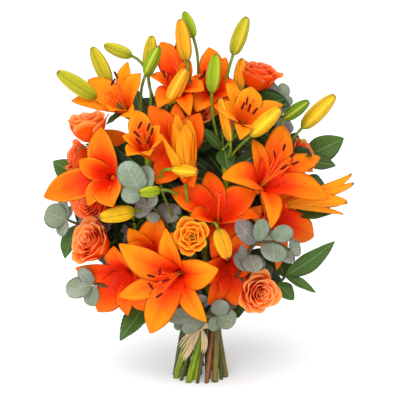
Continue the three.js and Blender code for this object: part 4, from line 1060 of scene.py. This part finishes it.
def eucalyptus_material():
    """Silver-green round blades with a powdery bloom. The tint runs to purple brown."""
    silver_green, purple_brown = (0.19, 0.25, 0.16), (0.2, 0.165, 0.155)
    powder, back = (0.36, 0.42, 0.34), (0.17, 0.16, 0.15)
    midrib, rim = (0.45, 0.42, 0.33), (0.35, 0.22, 0.18)
    paint = Paint("eucalyptus", roughness=0.6, gloss=0.3)
    along, across, face = paint.parts("place")
    dusk, _, _ = paint.parts("tint")
    edge = paint.math("ABSOLUTE", across)
    paint.colour = paint.mix(dusk, silver_green, purple_brown)
    paint.coat(powder, paint.object_noise(55.0, 5.0), 0.42, 0.75, 0.55)
    paint.coat(back, face, 0.0, -1.0, 0.5)
    paint.coat(midrib, edge, 0.06, 0.01, 0.5)
    paint.coat(rim, edge, 0.9, 1.0, 0.35)
    vein = paint.side_veins(along, 6.0, edge, 1.8)
    paint.bump(paint.fit(vein, 0.0, 0.12), 0.0004)
    return paint.finish(glow=0.08)


def raffia_material():
    """Straw with pale fibres along."""
    straw, pale = (0.75, 0.5, 0.24), (1.0, 0.82, 0.56)
    paint = Paint("raffia", roughness=0.7, base=straw)
    along, across, _ = paint.parts("place")
    fibre = paint.streaks(across, 14.0, along, 4.0)
    paint.coat(pale, fibre, 0.35, 0.7)
    paint.bump(fibre, 0.0006)
    return paint.finish(glow=0.1)


LILY_PETAL = lily_petal_material()
FILAMENT = filament_material()
ANTHER = anther_material()
ROSE_PETAL = rose_petal_material()
BUD = bud_material()
STEM = stem_material()
LEAF = leaf_material()
EUCALYPTUS = eucalyptus_material()
RAFFIA = raffia_material()
BLADES = dict(lily=LEAF, rose=LEAF, leafy=LEAF, eucalyptus=EUCALYPTUS)
SLOTS = dict(lily="lily_stem", rose="rose_stem", leafy="leaf", eucalyptus="eucalyptus")

# Stem colours, as tints.
LIME = Vector((0.46, 0.58, 0.02))
MOSS = Vector((0.18, 0.27, 0.012))
GREEN = Vector((0.05, 0.1, 0.012))
RUST = Vector((0.26, 0.08, 0.035))
OLIVE = Vector((0.2, 0.14, 0.025))
TWIG = Vector((0.09, 0.075, 0.03))
# Feet further right than these are olive brown on lily stems and reddish brown on rose stems.
LIME_TO = 16
RUST_FROM = 5
# How mossy the lily stems are, and how purple brown the leaves of a eucalyptus, where it is drawn.
MOSS_SHARES = [0.0, 0.3, 0.9]
DUSK_SHARES = [0.0, 0.2, 0.6]
FRESH_LEAF = (0.35, 0, 0)
SEPAL_GREEN = (0.3, 0, 0)
DEEP_TONE = (1.0, 0.0, 0.0)
NO_TINT = (0, 0, 0)

# ---------------------------------------------------------------- lilies


def petal_curve(middle, axis, tip, root_radius, spring_degrees, curl_degrees):
    """The midline of a petal and the direction across it. The petal leaves its root at the spring
    angle from the axis and ends at its tip at the curl angle below square to the axis."""
    outward = square_to(axis, tip - middle)
    base = middle + outward * root_radius
    start = around(axis, outward, math.radians(spring_degrees))
    end = around(outward, -axis, math.radians(curl_degrees))
    reach = (tip - base).length
    curve = bezier(base, base + start * reach * ROOT_PULL, tip - end * reach * TIP_PULL, tip)
    return curve, axis.cross(outward).normalized()


def blade_surface(curve, side, half_width, width, rise, ripple=0.0, waves=1.5, roll=0.0):
    """The middle surface of a blade. width(s) and rise(s, t) are shares of its half width, ripple is
    the height of the waves of its edges in millimetres, and roll turns its tip round its midline."""
    phase = any_turn()

    def surface(s, t):
        middle, tangent = curve(s)
        flat = square_to(tangent, side)
        upright = tangent.cross(flat)
        across = around(flat, upright, roll * s)
        normal = around(upright, -flat, roll * s)
        half = half_width * width(s)
        wave = ripple * abs(t) ** 3 * math.sin(math.pi * s) * math.sin(TURN * waves * s + phase + 1.3 * t)
        return middle + across * (t * half) + normal * (rise(s, t) * half + wave)
    return surface


def tepal_width(s):
    if s >= 1:
        return 0.0
    return math.sin(math.pi * s ** 0.98) ** 0.68 * (1.04 - 0.32 * s ** 5) + 0.28 * (1 - s) ** 6


def blunt_width(s):
    return math.sin(math.pi * s ** 1.3) ** 0.5 + 0.28 * (1 - s) ** 6 if s < 1 else 0.0


def tepal_rise(cup, fall):
    """How far a petal rises toward its edges: the cup at its base less the fall at its tip."""
    def rise(s, t):
        channel = 0.12 * math.exp(-(t / 0.16) ** 2) * (1 - 0.6 * s)
        return (cup - fall * s) * abs(t) ** 1.5 - channel
    return rise


TEPAL = (tepal_width, tepal_rise(0.5, 0.62))
BLUNT_TEPAL = (blunt_width, tepal_rise(1.1, 0.2))


def lily_tips(lily):
    plane = lily.middle + lily.axis * LILY_LIFT
    if lily.tips:
        return [seen(tip) if len(tip) == 3 else seen_on_plane(tip, plane, lily.axis) for tip in lily.tips]
    side, upward = cross_directions(lily.axis)
    angles = [math.radians(lily.roll + 60 * i) for i in range(6)]
    return [plane + around(upward, side, angle) * LILY_REACH for angle in angles]


def add_stamen(filaments, anthers, root, axis, end, direction):
    """A thin filament from the root to its end, with an anther hung across it."""
    start = root + square_to(axis, end - root) * STAMEN_ROOT_RADIUS
    bend = start + axis * (end - start).length * 0.5
    path = bezier(start, bend, end)
    filaments.tube(path, lambda s: FILAMENT_RADIUS * (1 - 0.45 * s), *FILAMENT_GRID, NO_TINT)
    profile = [(radius * ANTHER_RADIUS, height * ANTHER_LENGTH) for radius, height in ANTHER_SHAPE]
    hang = direction.normalized()
    base = end - hang * (ANTHER_LENGTH / 2)
    anthers.turned(base, hang, profile, ANTHER_SIDES, NO_TINT, lobes=2, depth=0.35)


def add_seen_stamens(lily, root, filaments, anthers):
    plane = root + lily.axis * (ANTHER_LIFT * lily.width + LILY_HUB_DEPTH)
    right, above = cross_directions(toward_eye())
    for u, v, slope in lily.anthers:
        end = seen_on_plane((u, v), plane, lily.axis)
        add_stamen(filaments, anthers, root, lily.axis, end, around(right, above, math.radians(slope)))


def add_round_stamens(axis, root, filaments, anthers):
    side, upward = cross_directions(axis)
    for i in range(STAMEN_COUNT):
        outward = around(upward, side, 2 * math.pi * (i + 0.5) / STAMEN_COUNT)
        end = root + (axis + outward * STAMEN_LEAN).normalized() * STAMEN_LENGTH
        direction = (outward.cross(axis) + axis * chance.uniform(-0.6, 0.6)).normalized()
        add_stamen(filaments, anthers, root, axis, end, direction)


def add_pistil(lily, root, filaments):
    tip = root + lily.axis * PISTIL_LENGTH * min(lily.width, 1)
    style = bezier(root, root.lerp(tip, 0.5), tip)
    filaments.tube(style, lambda s: PISTIL_RADIUS - 0.8 * min(s * 3, 1), *PISTIL_GRID, NO_TINT)
    filaments.turned(tip - lily.axis * 2, lily.axis, STIGMA, ROUND_SIDES, NO_TINT, lobes=3, depth=0.4)


def add_tepals(petals, lily, root):
    """Six petals in two layers, three wide and three narrow."""
    for i, tip in enumerate(lily_tips(lily)):
        wide = i % 2 == 0
        middle = root + lily.axis * (LILY_LAYER if wide else -LILY_LAYER)
        curve, side = petal_curve(middle, lily.axis, tip, LILY_HUB_RADIUS, lily.spring, lily.curl)
        half = (LILY_WIDE if wide else LILY_NARROW) * lily.width
        roll = chance.uniform(-TEPAL_ROLL, TEPAL_ROLL)
        shape = BLUNT_TEPAL if lily.blunt else TEPAL
        surface = blade_surface(curve, side, half, *shape, ripple=1.7 if wide else 0.9, roll=roll)
        petals.shell(surface, *TEPAL_GRID, TEPAL_THICKNESS, (lily.tone, lily.rim, lily.dark))


def make_lily(lily):
    root = lily.middle - lily.axis * LILY_HUB_DEPTH
    petals, filaments, anthers = Form(), Form(), Form()
    add_tepals(petals, lily, root)
    back = lily.middle - lily.axis * RECEPTACLE_DEPTH
    petals.turned(back, lily.axis, RECEPTACLE, ROUND_SIDES, DEEP_TONE)
    make_piece(lily.name + "_petals", petals, LILY_PETAL, "lily_petal", lily.name)
    if lily.anthers:
        add_seen_stamens(lily, root, filaments, anthers)
    if lily.stamens:
        add_round_stamens(lily.axis, root, filaments, anthers)
    if anthers.points:
        make_piece(lily.name + "_anthers", anthers, ANTHER, "lily_petal")
    if anthers.points or lily.pistil:
        add_pistil(lily, root, filaments)
        make_piece(lily.name + "_filaments", filaments, FILAMENT, "lily_petal")


# ---------------------------------------------------------------- roses


def rose_petal_surface(rose, openness, turn):
    """A petal of a rose head, wrapped round its axis. openness runs from the heart to the outside."""
    side, upward = cross_directions(rose.axis)
    size = ROSE_RADIUS * rose.size
    rim = Vector((0.05 + 0.9 * openness ** 1.25, 0.62 - 0.34 * rose.opening * openness ** 1.6))
    flare = math.radians(6 + 62 * rose.opening * openness ** 1.4)
    below_rim = rim - Vector((math.sin(flare), math.cos(flare))) * (0.3 + 0.12 * openness)
    profile = bezier(Vector((0.1, -0.6)), Vector((0.12 + 0.62 * rim.x, -0.52)), below_rim, rim)
    span = 1.95 - 1.0 * openness ** 0.8
    roll = 0.03 + 0.13 * openness
    lap = 0.05 * openness
    droop = chance.uniform(0.14, 0.24) + 0.12 * openness
    wave = any_turn()

    def surface(s, t):
        angle = turn + span * (0.45 + 0.55 * math.sin(min(1.3 * s, 1) * math.pi / 2)) * t
        climb = s * (1 - droop * abs(t) ** (2.6 - 1.3 * openness))
        point = profile(climb)[0]
        over = max(0.0, (climb - 0.8) / 0.2) * (1 - 0.75 * openness * math.exp(-(t / 0.2) ** 2))
        radius = point.x + roll * over + lap * t * climb
        radius += 0.02 * (0.4 + openness) * math.sin(5 * t + wave) * climb
        radius += 0.02 * math.sin(11 * t + 2 * wave) * climb ** 6
        height = point.y - roll * over ** 2.5 * openness
        return rose.middle + (around(upward, side, angle) * radius + rose.axis * height) * size
    return surface


def make_rose(rose):
    size = ROSE_RADIUS * rose.size
    petals = Form()
    turn = any_turn()
    for i in range(ROSE_PETALS):
        openness = i / (ROSE_PETALS - 1)
        turn += ROSE_PETAL_TURN + chance.uniform(-0.2, 0.2)
        surface = rose_petal_surface(rose, openness, turn)
        tint = (rose.yellow, openness, rose.coral)
        petals.shell(surface, *ROSE_PETAL_GRID, ROSE_PETAL_THICKNESS, tint, pointed=False)
    cup = [(radius * size, height * size) for radius, height in ROSE_CUP]
    petals.turned(rose.middle, rose.axis, cup, ROUND_SIDES, (rose.yellow, 1, rose.coral))
    make_piece(rose.name + "_petals", petals, ROSE_PETAL, "rose_petal", rose.name)


# ---------------------------------------------------------------- leaves, buds and stems


def plain_width(s):
    return 0.1 * (1 - s) + 1.08 * math.sin(math.pi * s ** 0.85) ** 0.85 if s < 1 else 0.0


def toothed_width(s):
    tooth = (14 * s) % 1.0
    return plain_width(s) * (1 - 0.1 * tooth)


def round_width(s):
    stalk = 0.1
    if s < stalk:
        return 0.08
    x = 2 * (s - stalk) / (1 - stalk) - 1
    return max(0.08 * (1 - s), math.sqrt(max(0, 1 - x * x)) ** 0.9)


LEAF_WIDTHS = dict(plain=plain_width, toothed=toothed_width, round=round_width)


def add_leaf(leaves, base, tip, half_width, kind, tint, fold=0.22, ripple=0.8):
    """A leaf from base to tip that arches upward a little. Its face looks up and away."""
    chord = tip - base
    out = LEAF_OUT if tip.y > LEAF_BACK else -LEAF_OUT
    away = Vector((LEAF_ACROSS * tip.x, out, LEAF_UP)).normalized()
    side = away.cross(chord).normalized()
    face = chord.cross(side).normalized()
    bend = base.lerp(tip, 0.5) + face * chord.length * LEAF_ARCH

    def rise(s, t):
        return fold * abs(t) ** 1.2 - 0.05 * math.exp(-(t / 0.1) ** 2)
    path = bezier(base, bend, tip)
    surface = blade_surface(path, side, half_width, LEAF_WIDTHS[kind], rise, ripple=ripple, waves=2.2)
    leaves.shell(surface, LEAF_ROWS[kind], LEAF_COLUMNS, LEAF_THICKNESS, tint)


def add_bud(buds, base, tip, radius, hue):
    axis = tip - base
    length = axis.length
    greatest = radius or min(BUD_RADIUS, BUD_LEAST_RADIUS + length * BUD_SLENDERNESS)
    profile = [(radius * greatest, height * length) for radius, height in BUD_SHAPE]
    buds.turned(base, axis.normalized(), profile, BUD_SIDES, (hue, 0, 0), lobes=3, depth=0.2)


def deal_slots():
    """Stems cross the waist in rings, in the order of the bearings of their heads."""
    for ring, radius in STEM_RINGS.items():
        members = [stem for stem in STEMS if stem.ring == ring]
        for stem in members:
            stem.bearing = math.atan2(stem.route[0].y, stem.route[0].x)
        members.sort(key=lambda stem: stem.bearing)
        step = 2 * math.pi / len(members)
        drift = [stem.bearing - i * step for i, stem in enumerate(members)]
        start = math.atan2(sum(map(math.sin, drift)), sum(map(math.cos, drift))) - WAIST_LAG
        for i, stem in enumerate(members):
            stem.slot = (radius, start + i * step)


def add_stem(stalks, stem, radius, tint):
    """The main stem, a little thicker at its foot, with its foot cut flat on the ground."""
    wobble = any_turn()

    def girth(s):
        joints = 0.07 * max(0.0, math.sin(55 * s + wobble)) ** 10
        return radius * (1.08 - 0.24 * s + 0.03 * math.sin(31 * s + wobble) + joints)
    stalks.tube(smooth_curve(stem.points()), girth, *STEM_GRID, tint, on_floor=True)


def add_pedicel(stalks, start, end, direction):
    bend = end - direction * (end - start).length * PEDICEL_BEND
    path = bezier(start, bend, end)
    stalks.tube(path, lambda s: PEDICEL_RADIUS * (0.9 + 0.25 * s * s), *PEDICEL_GRID, MOSS)


def pedicel_starts(stem):
    """Places for the pedicels of each node, one below the other."""
    route = stem.points()
    first = len(route) - len(stem.path)
    used = [0] * len(stem.path)

    def next_start(node):
        below, joint = route[first + node - 1:first + node + 1]
        used[node] += 1
        return joint + (below - joint).normalized() * (used[node] - 0.5) * PEDICEL_SPACING
    return next_start


def make_lily_stem(stem):
    stalks, buds, leaves = Form(), Form(), Form()
    green = LIME.lerp(MOSS, chance.choice(MOSS_SHARES))
    if stem.points()[0].x > LIME_TO:
        green = OLIVE
    add_stem(stalks, stem, STEM_RADIUS["lily"], green)
    next_start = pedicel_starts(stem)
    for name, node in stem.blooms.items():
        lily = next(lily for lily in LILIES if lily.name == name)
        add_pedicel(stalks, next_start(node), lily.middle - lily.axis * RECEPTACLE_DEPTH, lily.axis)
    for bud in stem.buds:
        base, tip = seen(bud.base), seen(bud.tip)
        add_pedicel(stalks, next_start(bud.node), base, (tip - base).normalized())
        add_bud(buds, base, tip, bud.radius, bud.hue)
    for leaf in stem.leaves:
        add_leaf(leaves, seen(leaf.base), seen(leaf.tip), leaf.width, leaf.kind, FRESH_LEAF)
    make_piece(stem.name + "_stalks", stalks, STEM, "lily_stem", stem.name)
    if stem.buds:
        make_piece(stem.name + "_buds", buds, BUD, "lily_stem")
    if stem.leaves:
        make_piece(stem.name + "_leaves", leaves, LEAF, "lily_stem")


def sepal_width(s):
    return (1 - s) ** 0.6 if s < 1 else 0.0


def add_sepals(sepals, rose):
    """Narrow sepals round the back of a rose's head, and the hip that they grow from."""
    side, upward = cross_directions(rose.axis)
    root = rose.root()
    for i in range(SEPAL_COUNT):
        outward = around(upward, side, 2 * math.pi * (i + 0.4) / SEPAL_COUNT)
        tip = root - rose.axis * 2 + outward * SEPAL_LENGTH
        path = petal_curve(root, rose.axis, tip, SEPAL_ROOT_RADIUS, SEPAL_SPRING, SEPAL_CURL)
        surface = blade_surface(
            *path, SEPAL_HALF_WIDTH, sepal_width, lambda s, t: 0.2 * abs(t), ripple=0.4)
        sepals.shell(surface, *SEPAL_GRID, LEAF_THICKNESS, SEPAL_GREEN)
    sepals.turned(root - rose.axis * HIP_DROP, rose.axis, HIP, ROUND_SIDES, SEPAL_GREEN)


def make_rose_stem(stem):
    stalks, sepals = Form(), Form()
    rusty = stem.points()[0].x > RUST_FROM
    add_stem(stalks, stem, STEM_RADIUS["rose"], RUST if rusty else chance.choice([GREEN, MOSS]))
    add_sepals(sepals, stem.rose)
    make_piece(stem.name + "_stalk", stalks, STEM, "rose_stem", stem.name)
    make_piece(stem.name + "_sepals", sepals, LEAF, "rose_stem")


def nearest_on(points, target):
    curve = smooth_curve(points)
    samples = [curve(i / TWIG_SAMPLES)[0] for i in range(TWIG_SAMPLES + 1)]
    return min(samples, key=lambda point: (point - target).length)


def make_spray(spray):
    eucalyptus = spray.kind == "eucalyptus"
    stalks, leaves = Form(), Form()
    add_stem(stalks, spray, STEM_RADIUS["spray"], TWIG if eucalyptus else GREEN)
    dusks = [chance.choice(DUSK_SHARES) for _ in spray.leaves]
    for leaf, dusk in zip(spray.leaves, dusks):
        tip = seen(leaf.tip)
        base = nearest_on(spray.route, seen(leaf.near or leaf.tip))
        if eucalyptus:
            width = leaf.width * EUCALYPTUS_WIDENING
            tint = (dusk if leaf.dusk is None else leaf.dusk, 0, 0)
            add_leaf(leaves, base, tip, width, "round", tint, fold=0.12, ripple=0.5)
        else:
            add_leaf(leaves, base, tip, leaf.width, leaf.kind, (chance.uniform(0.0, 0.35), 0, 0))
    for leaf in spray.small_leaves:
        tip = seen(leaf.tip)
        base = nearest_on(spray.route, tip)
        add_leaf(leaves, base, tip, leaf.width, "round", (leaf.dusk, 0, 0), fold=0.2)
    make_piece(spray.name + "_stalk", stalks, STEM, SLOTS[spray.kind], spray.name)
    make_piece(spray.name + "_leaves", leaves, BLADES[spray.kind], SLOTS[spray.kind])


# ---------------------------------------------------------------- leaves inside the bouquet


def in_crown(point):
    place = point - CROWN_MIDDLE
    return point.z > FILL_LOWEST and sum((a / b) ** 2 for a, b in zip(place, CROWN_REACH)) < 1


def before_a_head(point):
    """Whether a point stands in front of a bloom, where it would hide it."""
    for head, reach in HEADS:
        place = point - head.middle
        depth = place.dot(head.axis)
        if depth > -HEAD_THICKNESS and (place - head.axis * depth).length < reach + 0.25 * depth:
            return True
    return False


def fill_leaf(curve, lengths):
    """The base and tip of a leaf on a stem that stays inside the bouquet, or None."""
    for _ in range(FILL_TRIES):
        base, rise = curve(chance.uniform(*FILL_STARTS))
        outward = around(*cross_directions(rise), any_turn())
        direction = (outward + rise * chance.uniform(*FILL_LEANS)).normalized()
        tip = base + direction * chance.uniform(*lengths)
        spots = [base.lerp(tip, share) for share in FILL_SPOTS]
        if all(in_crown(spot) and not before_a_head(spot) for spot in spots):
            return base, tip
    return None


def fill_stem(stem):
    kind = FILL_KINDS[stem.kind]
    curve = smooth_curve(stem.points())
    leaves = Form()
    for _ in range(kind["count"]):
        ends = fill_leaf(curve, kind["length"])
        if ends:
            # Painted shade: the leaves between the heads are tinted dark green, where shade falls inside
            # the bouquet.
            tint = (chance.uniform(0.6, 1.0), 0, 0)
            add_leaf(leaves, *ends, chance.uniform(*kind["width"]), kind["blade"], tint, ripple=1.2)
    if leaves.points:
        make_piece(stem.name + "_fill", leaves, BLADES[stem.kind], SLOTS[stem.kind])


# ---------------------------------------------------------------- raffia tie


def add_winding(strands):
    """A flat strand once round the waist."""
    height = WAIST_HEIGHT + chance.uniform(-TIE_HALF_HEIGHT, TIE_HALF_HEIGHT)
    tilt = chance.uniform(-TIE_TILT, TIE_TILT)
    lead = any_turn()

    def wound(s):
        angle = lead + TURN * s
        point = on_circle(TIE_RADIUS, angle, height + tilt * math.sin(angle))
        return point, Vector((-math.sin(angle), math.cos(angle), 0))
    surface = blade_surface(wound, Vector((0, 0, 1)), TIE_STRAND["half_width"], lambda s: 1, lambda s, t: 0)
    strands.shell(surface, *TIE_GRID, TIE_STRAND["thickness"], NO_TINT, pointed=False)


def add_knot_loop(strands, i):
    """One of the strands that cross in the knot."""
    knot = seen(KNOT_PLACE)
    angle = math.pi * i / KNOT_LOOPS + chance.uniform(-0.2, 0.2)
    arm = Vector((math.cos(angle), 0, math.sin(angle))) * KNOT_REACH
    bulge = KNOT_BULGE * 1.6
    path = bezier(knot - arm, knot - arm * 0.6 + bulge, knot + arm * 0.6 + bulge, knot + arm)
    across = Vector((-math.sin(angle), 0, math.cos(angle)))
    surface = blade_surface(
        path, across, KNOT_STRAND["half_width"], lambda s: 0.7 + 0.3 * math.sin(math.pi * s),
        lambda s, t: -0.3 * t * t)
    strands.shell(surface, *KNOT_GRID, KNOT_STRAND["thickness"], NO_TINT, pointed=False)


def frayed_width(s):
    return 0.6 + 0.7 * math.sin(math.pi * s) - 0.3 * s if s < 1 else 0.0


def add_tail(strands, tail):
    """Strands that fan out from the knot and curl over."""
    start, bend, end = (seen(point) for point in tail["points"])
    for i in range(tail["strands"]):
        share = (i + 0.5) / tail["strands"] - 0.5
        drift = Vector((2 * share * tail["fan"], chance.uniform(-2.5, 1.0), chance.uniform(-6, 6)))
        path = bezier(start, bend + drift, end + drift * 0.8)
        across = Vector((-0.9, 0, 0.4)).normalized()
        surface = blade_surface(
            path, across, chance.uniform(*TAIL_HALF_WIDTHS), frayed_width, lambda s, t: 0.3 * t * t,
            ripple=0.8, roll=chance.uniform(-0.8, 0.8))
        strands.shell(surface, *TAIL_GRID, TAIL_THICKNESS, NO_TINT)


def make_tie():
    """Flat strands wound round the waist, a knot in front and frayed tails."""
    strands = Form()
    for _ in range(TIE_WINDINGS):
        add_winding(strands)
    for i in range(KNOT_LOOPS):
        add_knot_loop(strands, i)
    for tail in TIE_TAILS:
        add_tail(strands, tail)
    make_piece("raffia_strands", strands, RAFFIA, "raffia", "raffia_tie")


# ---------------------------------------------------------------- floor, light and camera


def make_floor():
    bpy.ops.mesh.primitive_plane_add(size=FLOOR_SIZE)
    floor = bpy.context.active_object
    floor.name = "floor"
    paint = Paint("floor", roughness=0.9)
    paint.colour = paint.mix(paint.object_noise(3.0), (0.84, 0.85, 0.87), (0.86, 0.87, 0.89))
    paint.shader.inputs["Emission Color"].default_value = (1, 1, 1, 1)
    paint.shader.inputs["Emission Strength"].default_value = FLOOR_GLOW
    floor.data.materials.append(paint.finish())


def add_aimed(name, data, place, direction, front="-Z"):
    """Puts a light or camera at a place in metres, with its front turned to the direction."""
    thing = bpy.data.objects.new(name, data)
    thing.location = place
    thing.rotation_euler = direction.to_track_quat(front, "Y").to_euler()
    bpy.context.scene.collection.objects.link(thing)
    return thing


def add_lights():
    sun = bpy.data.lights.new("key", "SUN")
    sun.energy = SUN_STRENGTH
    sun.angle = SUN_SPREAD
    add_aimed("key", sun, (0, 0, 0), Vector(SUN_DIRECTION), "Z")
    fill = bpy.data.lights.new("fill", "AREA")
    fill.size = FILL_SIZE
    fill.energy = FILL_POWER
    add_aimed("fill", fill, FILL_PLACE, Vector(FILL_TARGET) - Vector(FILL_PLACE))


def make_camera():
    data = bpy.data.cameras.new("camera")
    data.sensor_width = SENSOR_WIDTH
    data.lens = SENSOR_WIDTH * FOCAL_LENGTH / PICTURE_WIDTH
    aim = Vector((0, 0, EYE_AIM_HEIGHT))
    eye = aim + toward_eye() * EYE_DISTANCE
    bpy.context.scene.camera = add_aimed("camera", data, eye * MM, aim - eye)


def make_world():
    world = bpy.data.worlds.new("studio")
    world.use_nodes = True
    world.node_tree.nodes["Background"].inputs[0].default_value = (1, 1, 1, 1)
    world.node_tree.nodes["Background"].inputs[1].default_value = SKY_STRENGTH
    bpy.context.scene.world = world


deal_slots()
for lily in LILIES:
    make_lily(lily)
for rose in ROSES:
    make_rose(rose)
for stem in LILY_STEMS:
    make_lily_stem(stem)
for stem in ROSE_STEMS:
    make_rose_stem(stem)
for spray in SPRAYS:
    make_spray(spray)
for stem in STEMS:
    fill_stem(stem)
make_tie()
make_floor()
make_world()
add_lights()
make_camera()
bpy.context.scene.view_settings.view_transform = "Standard"
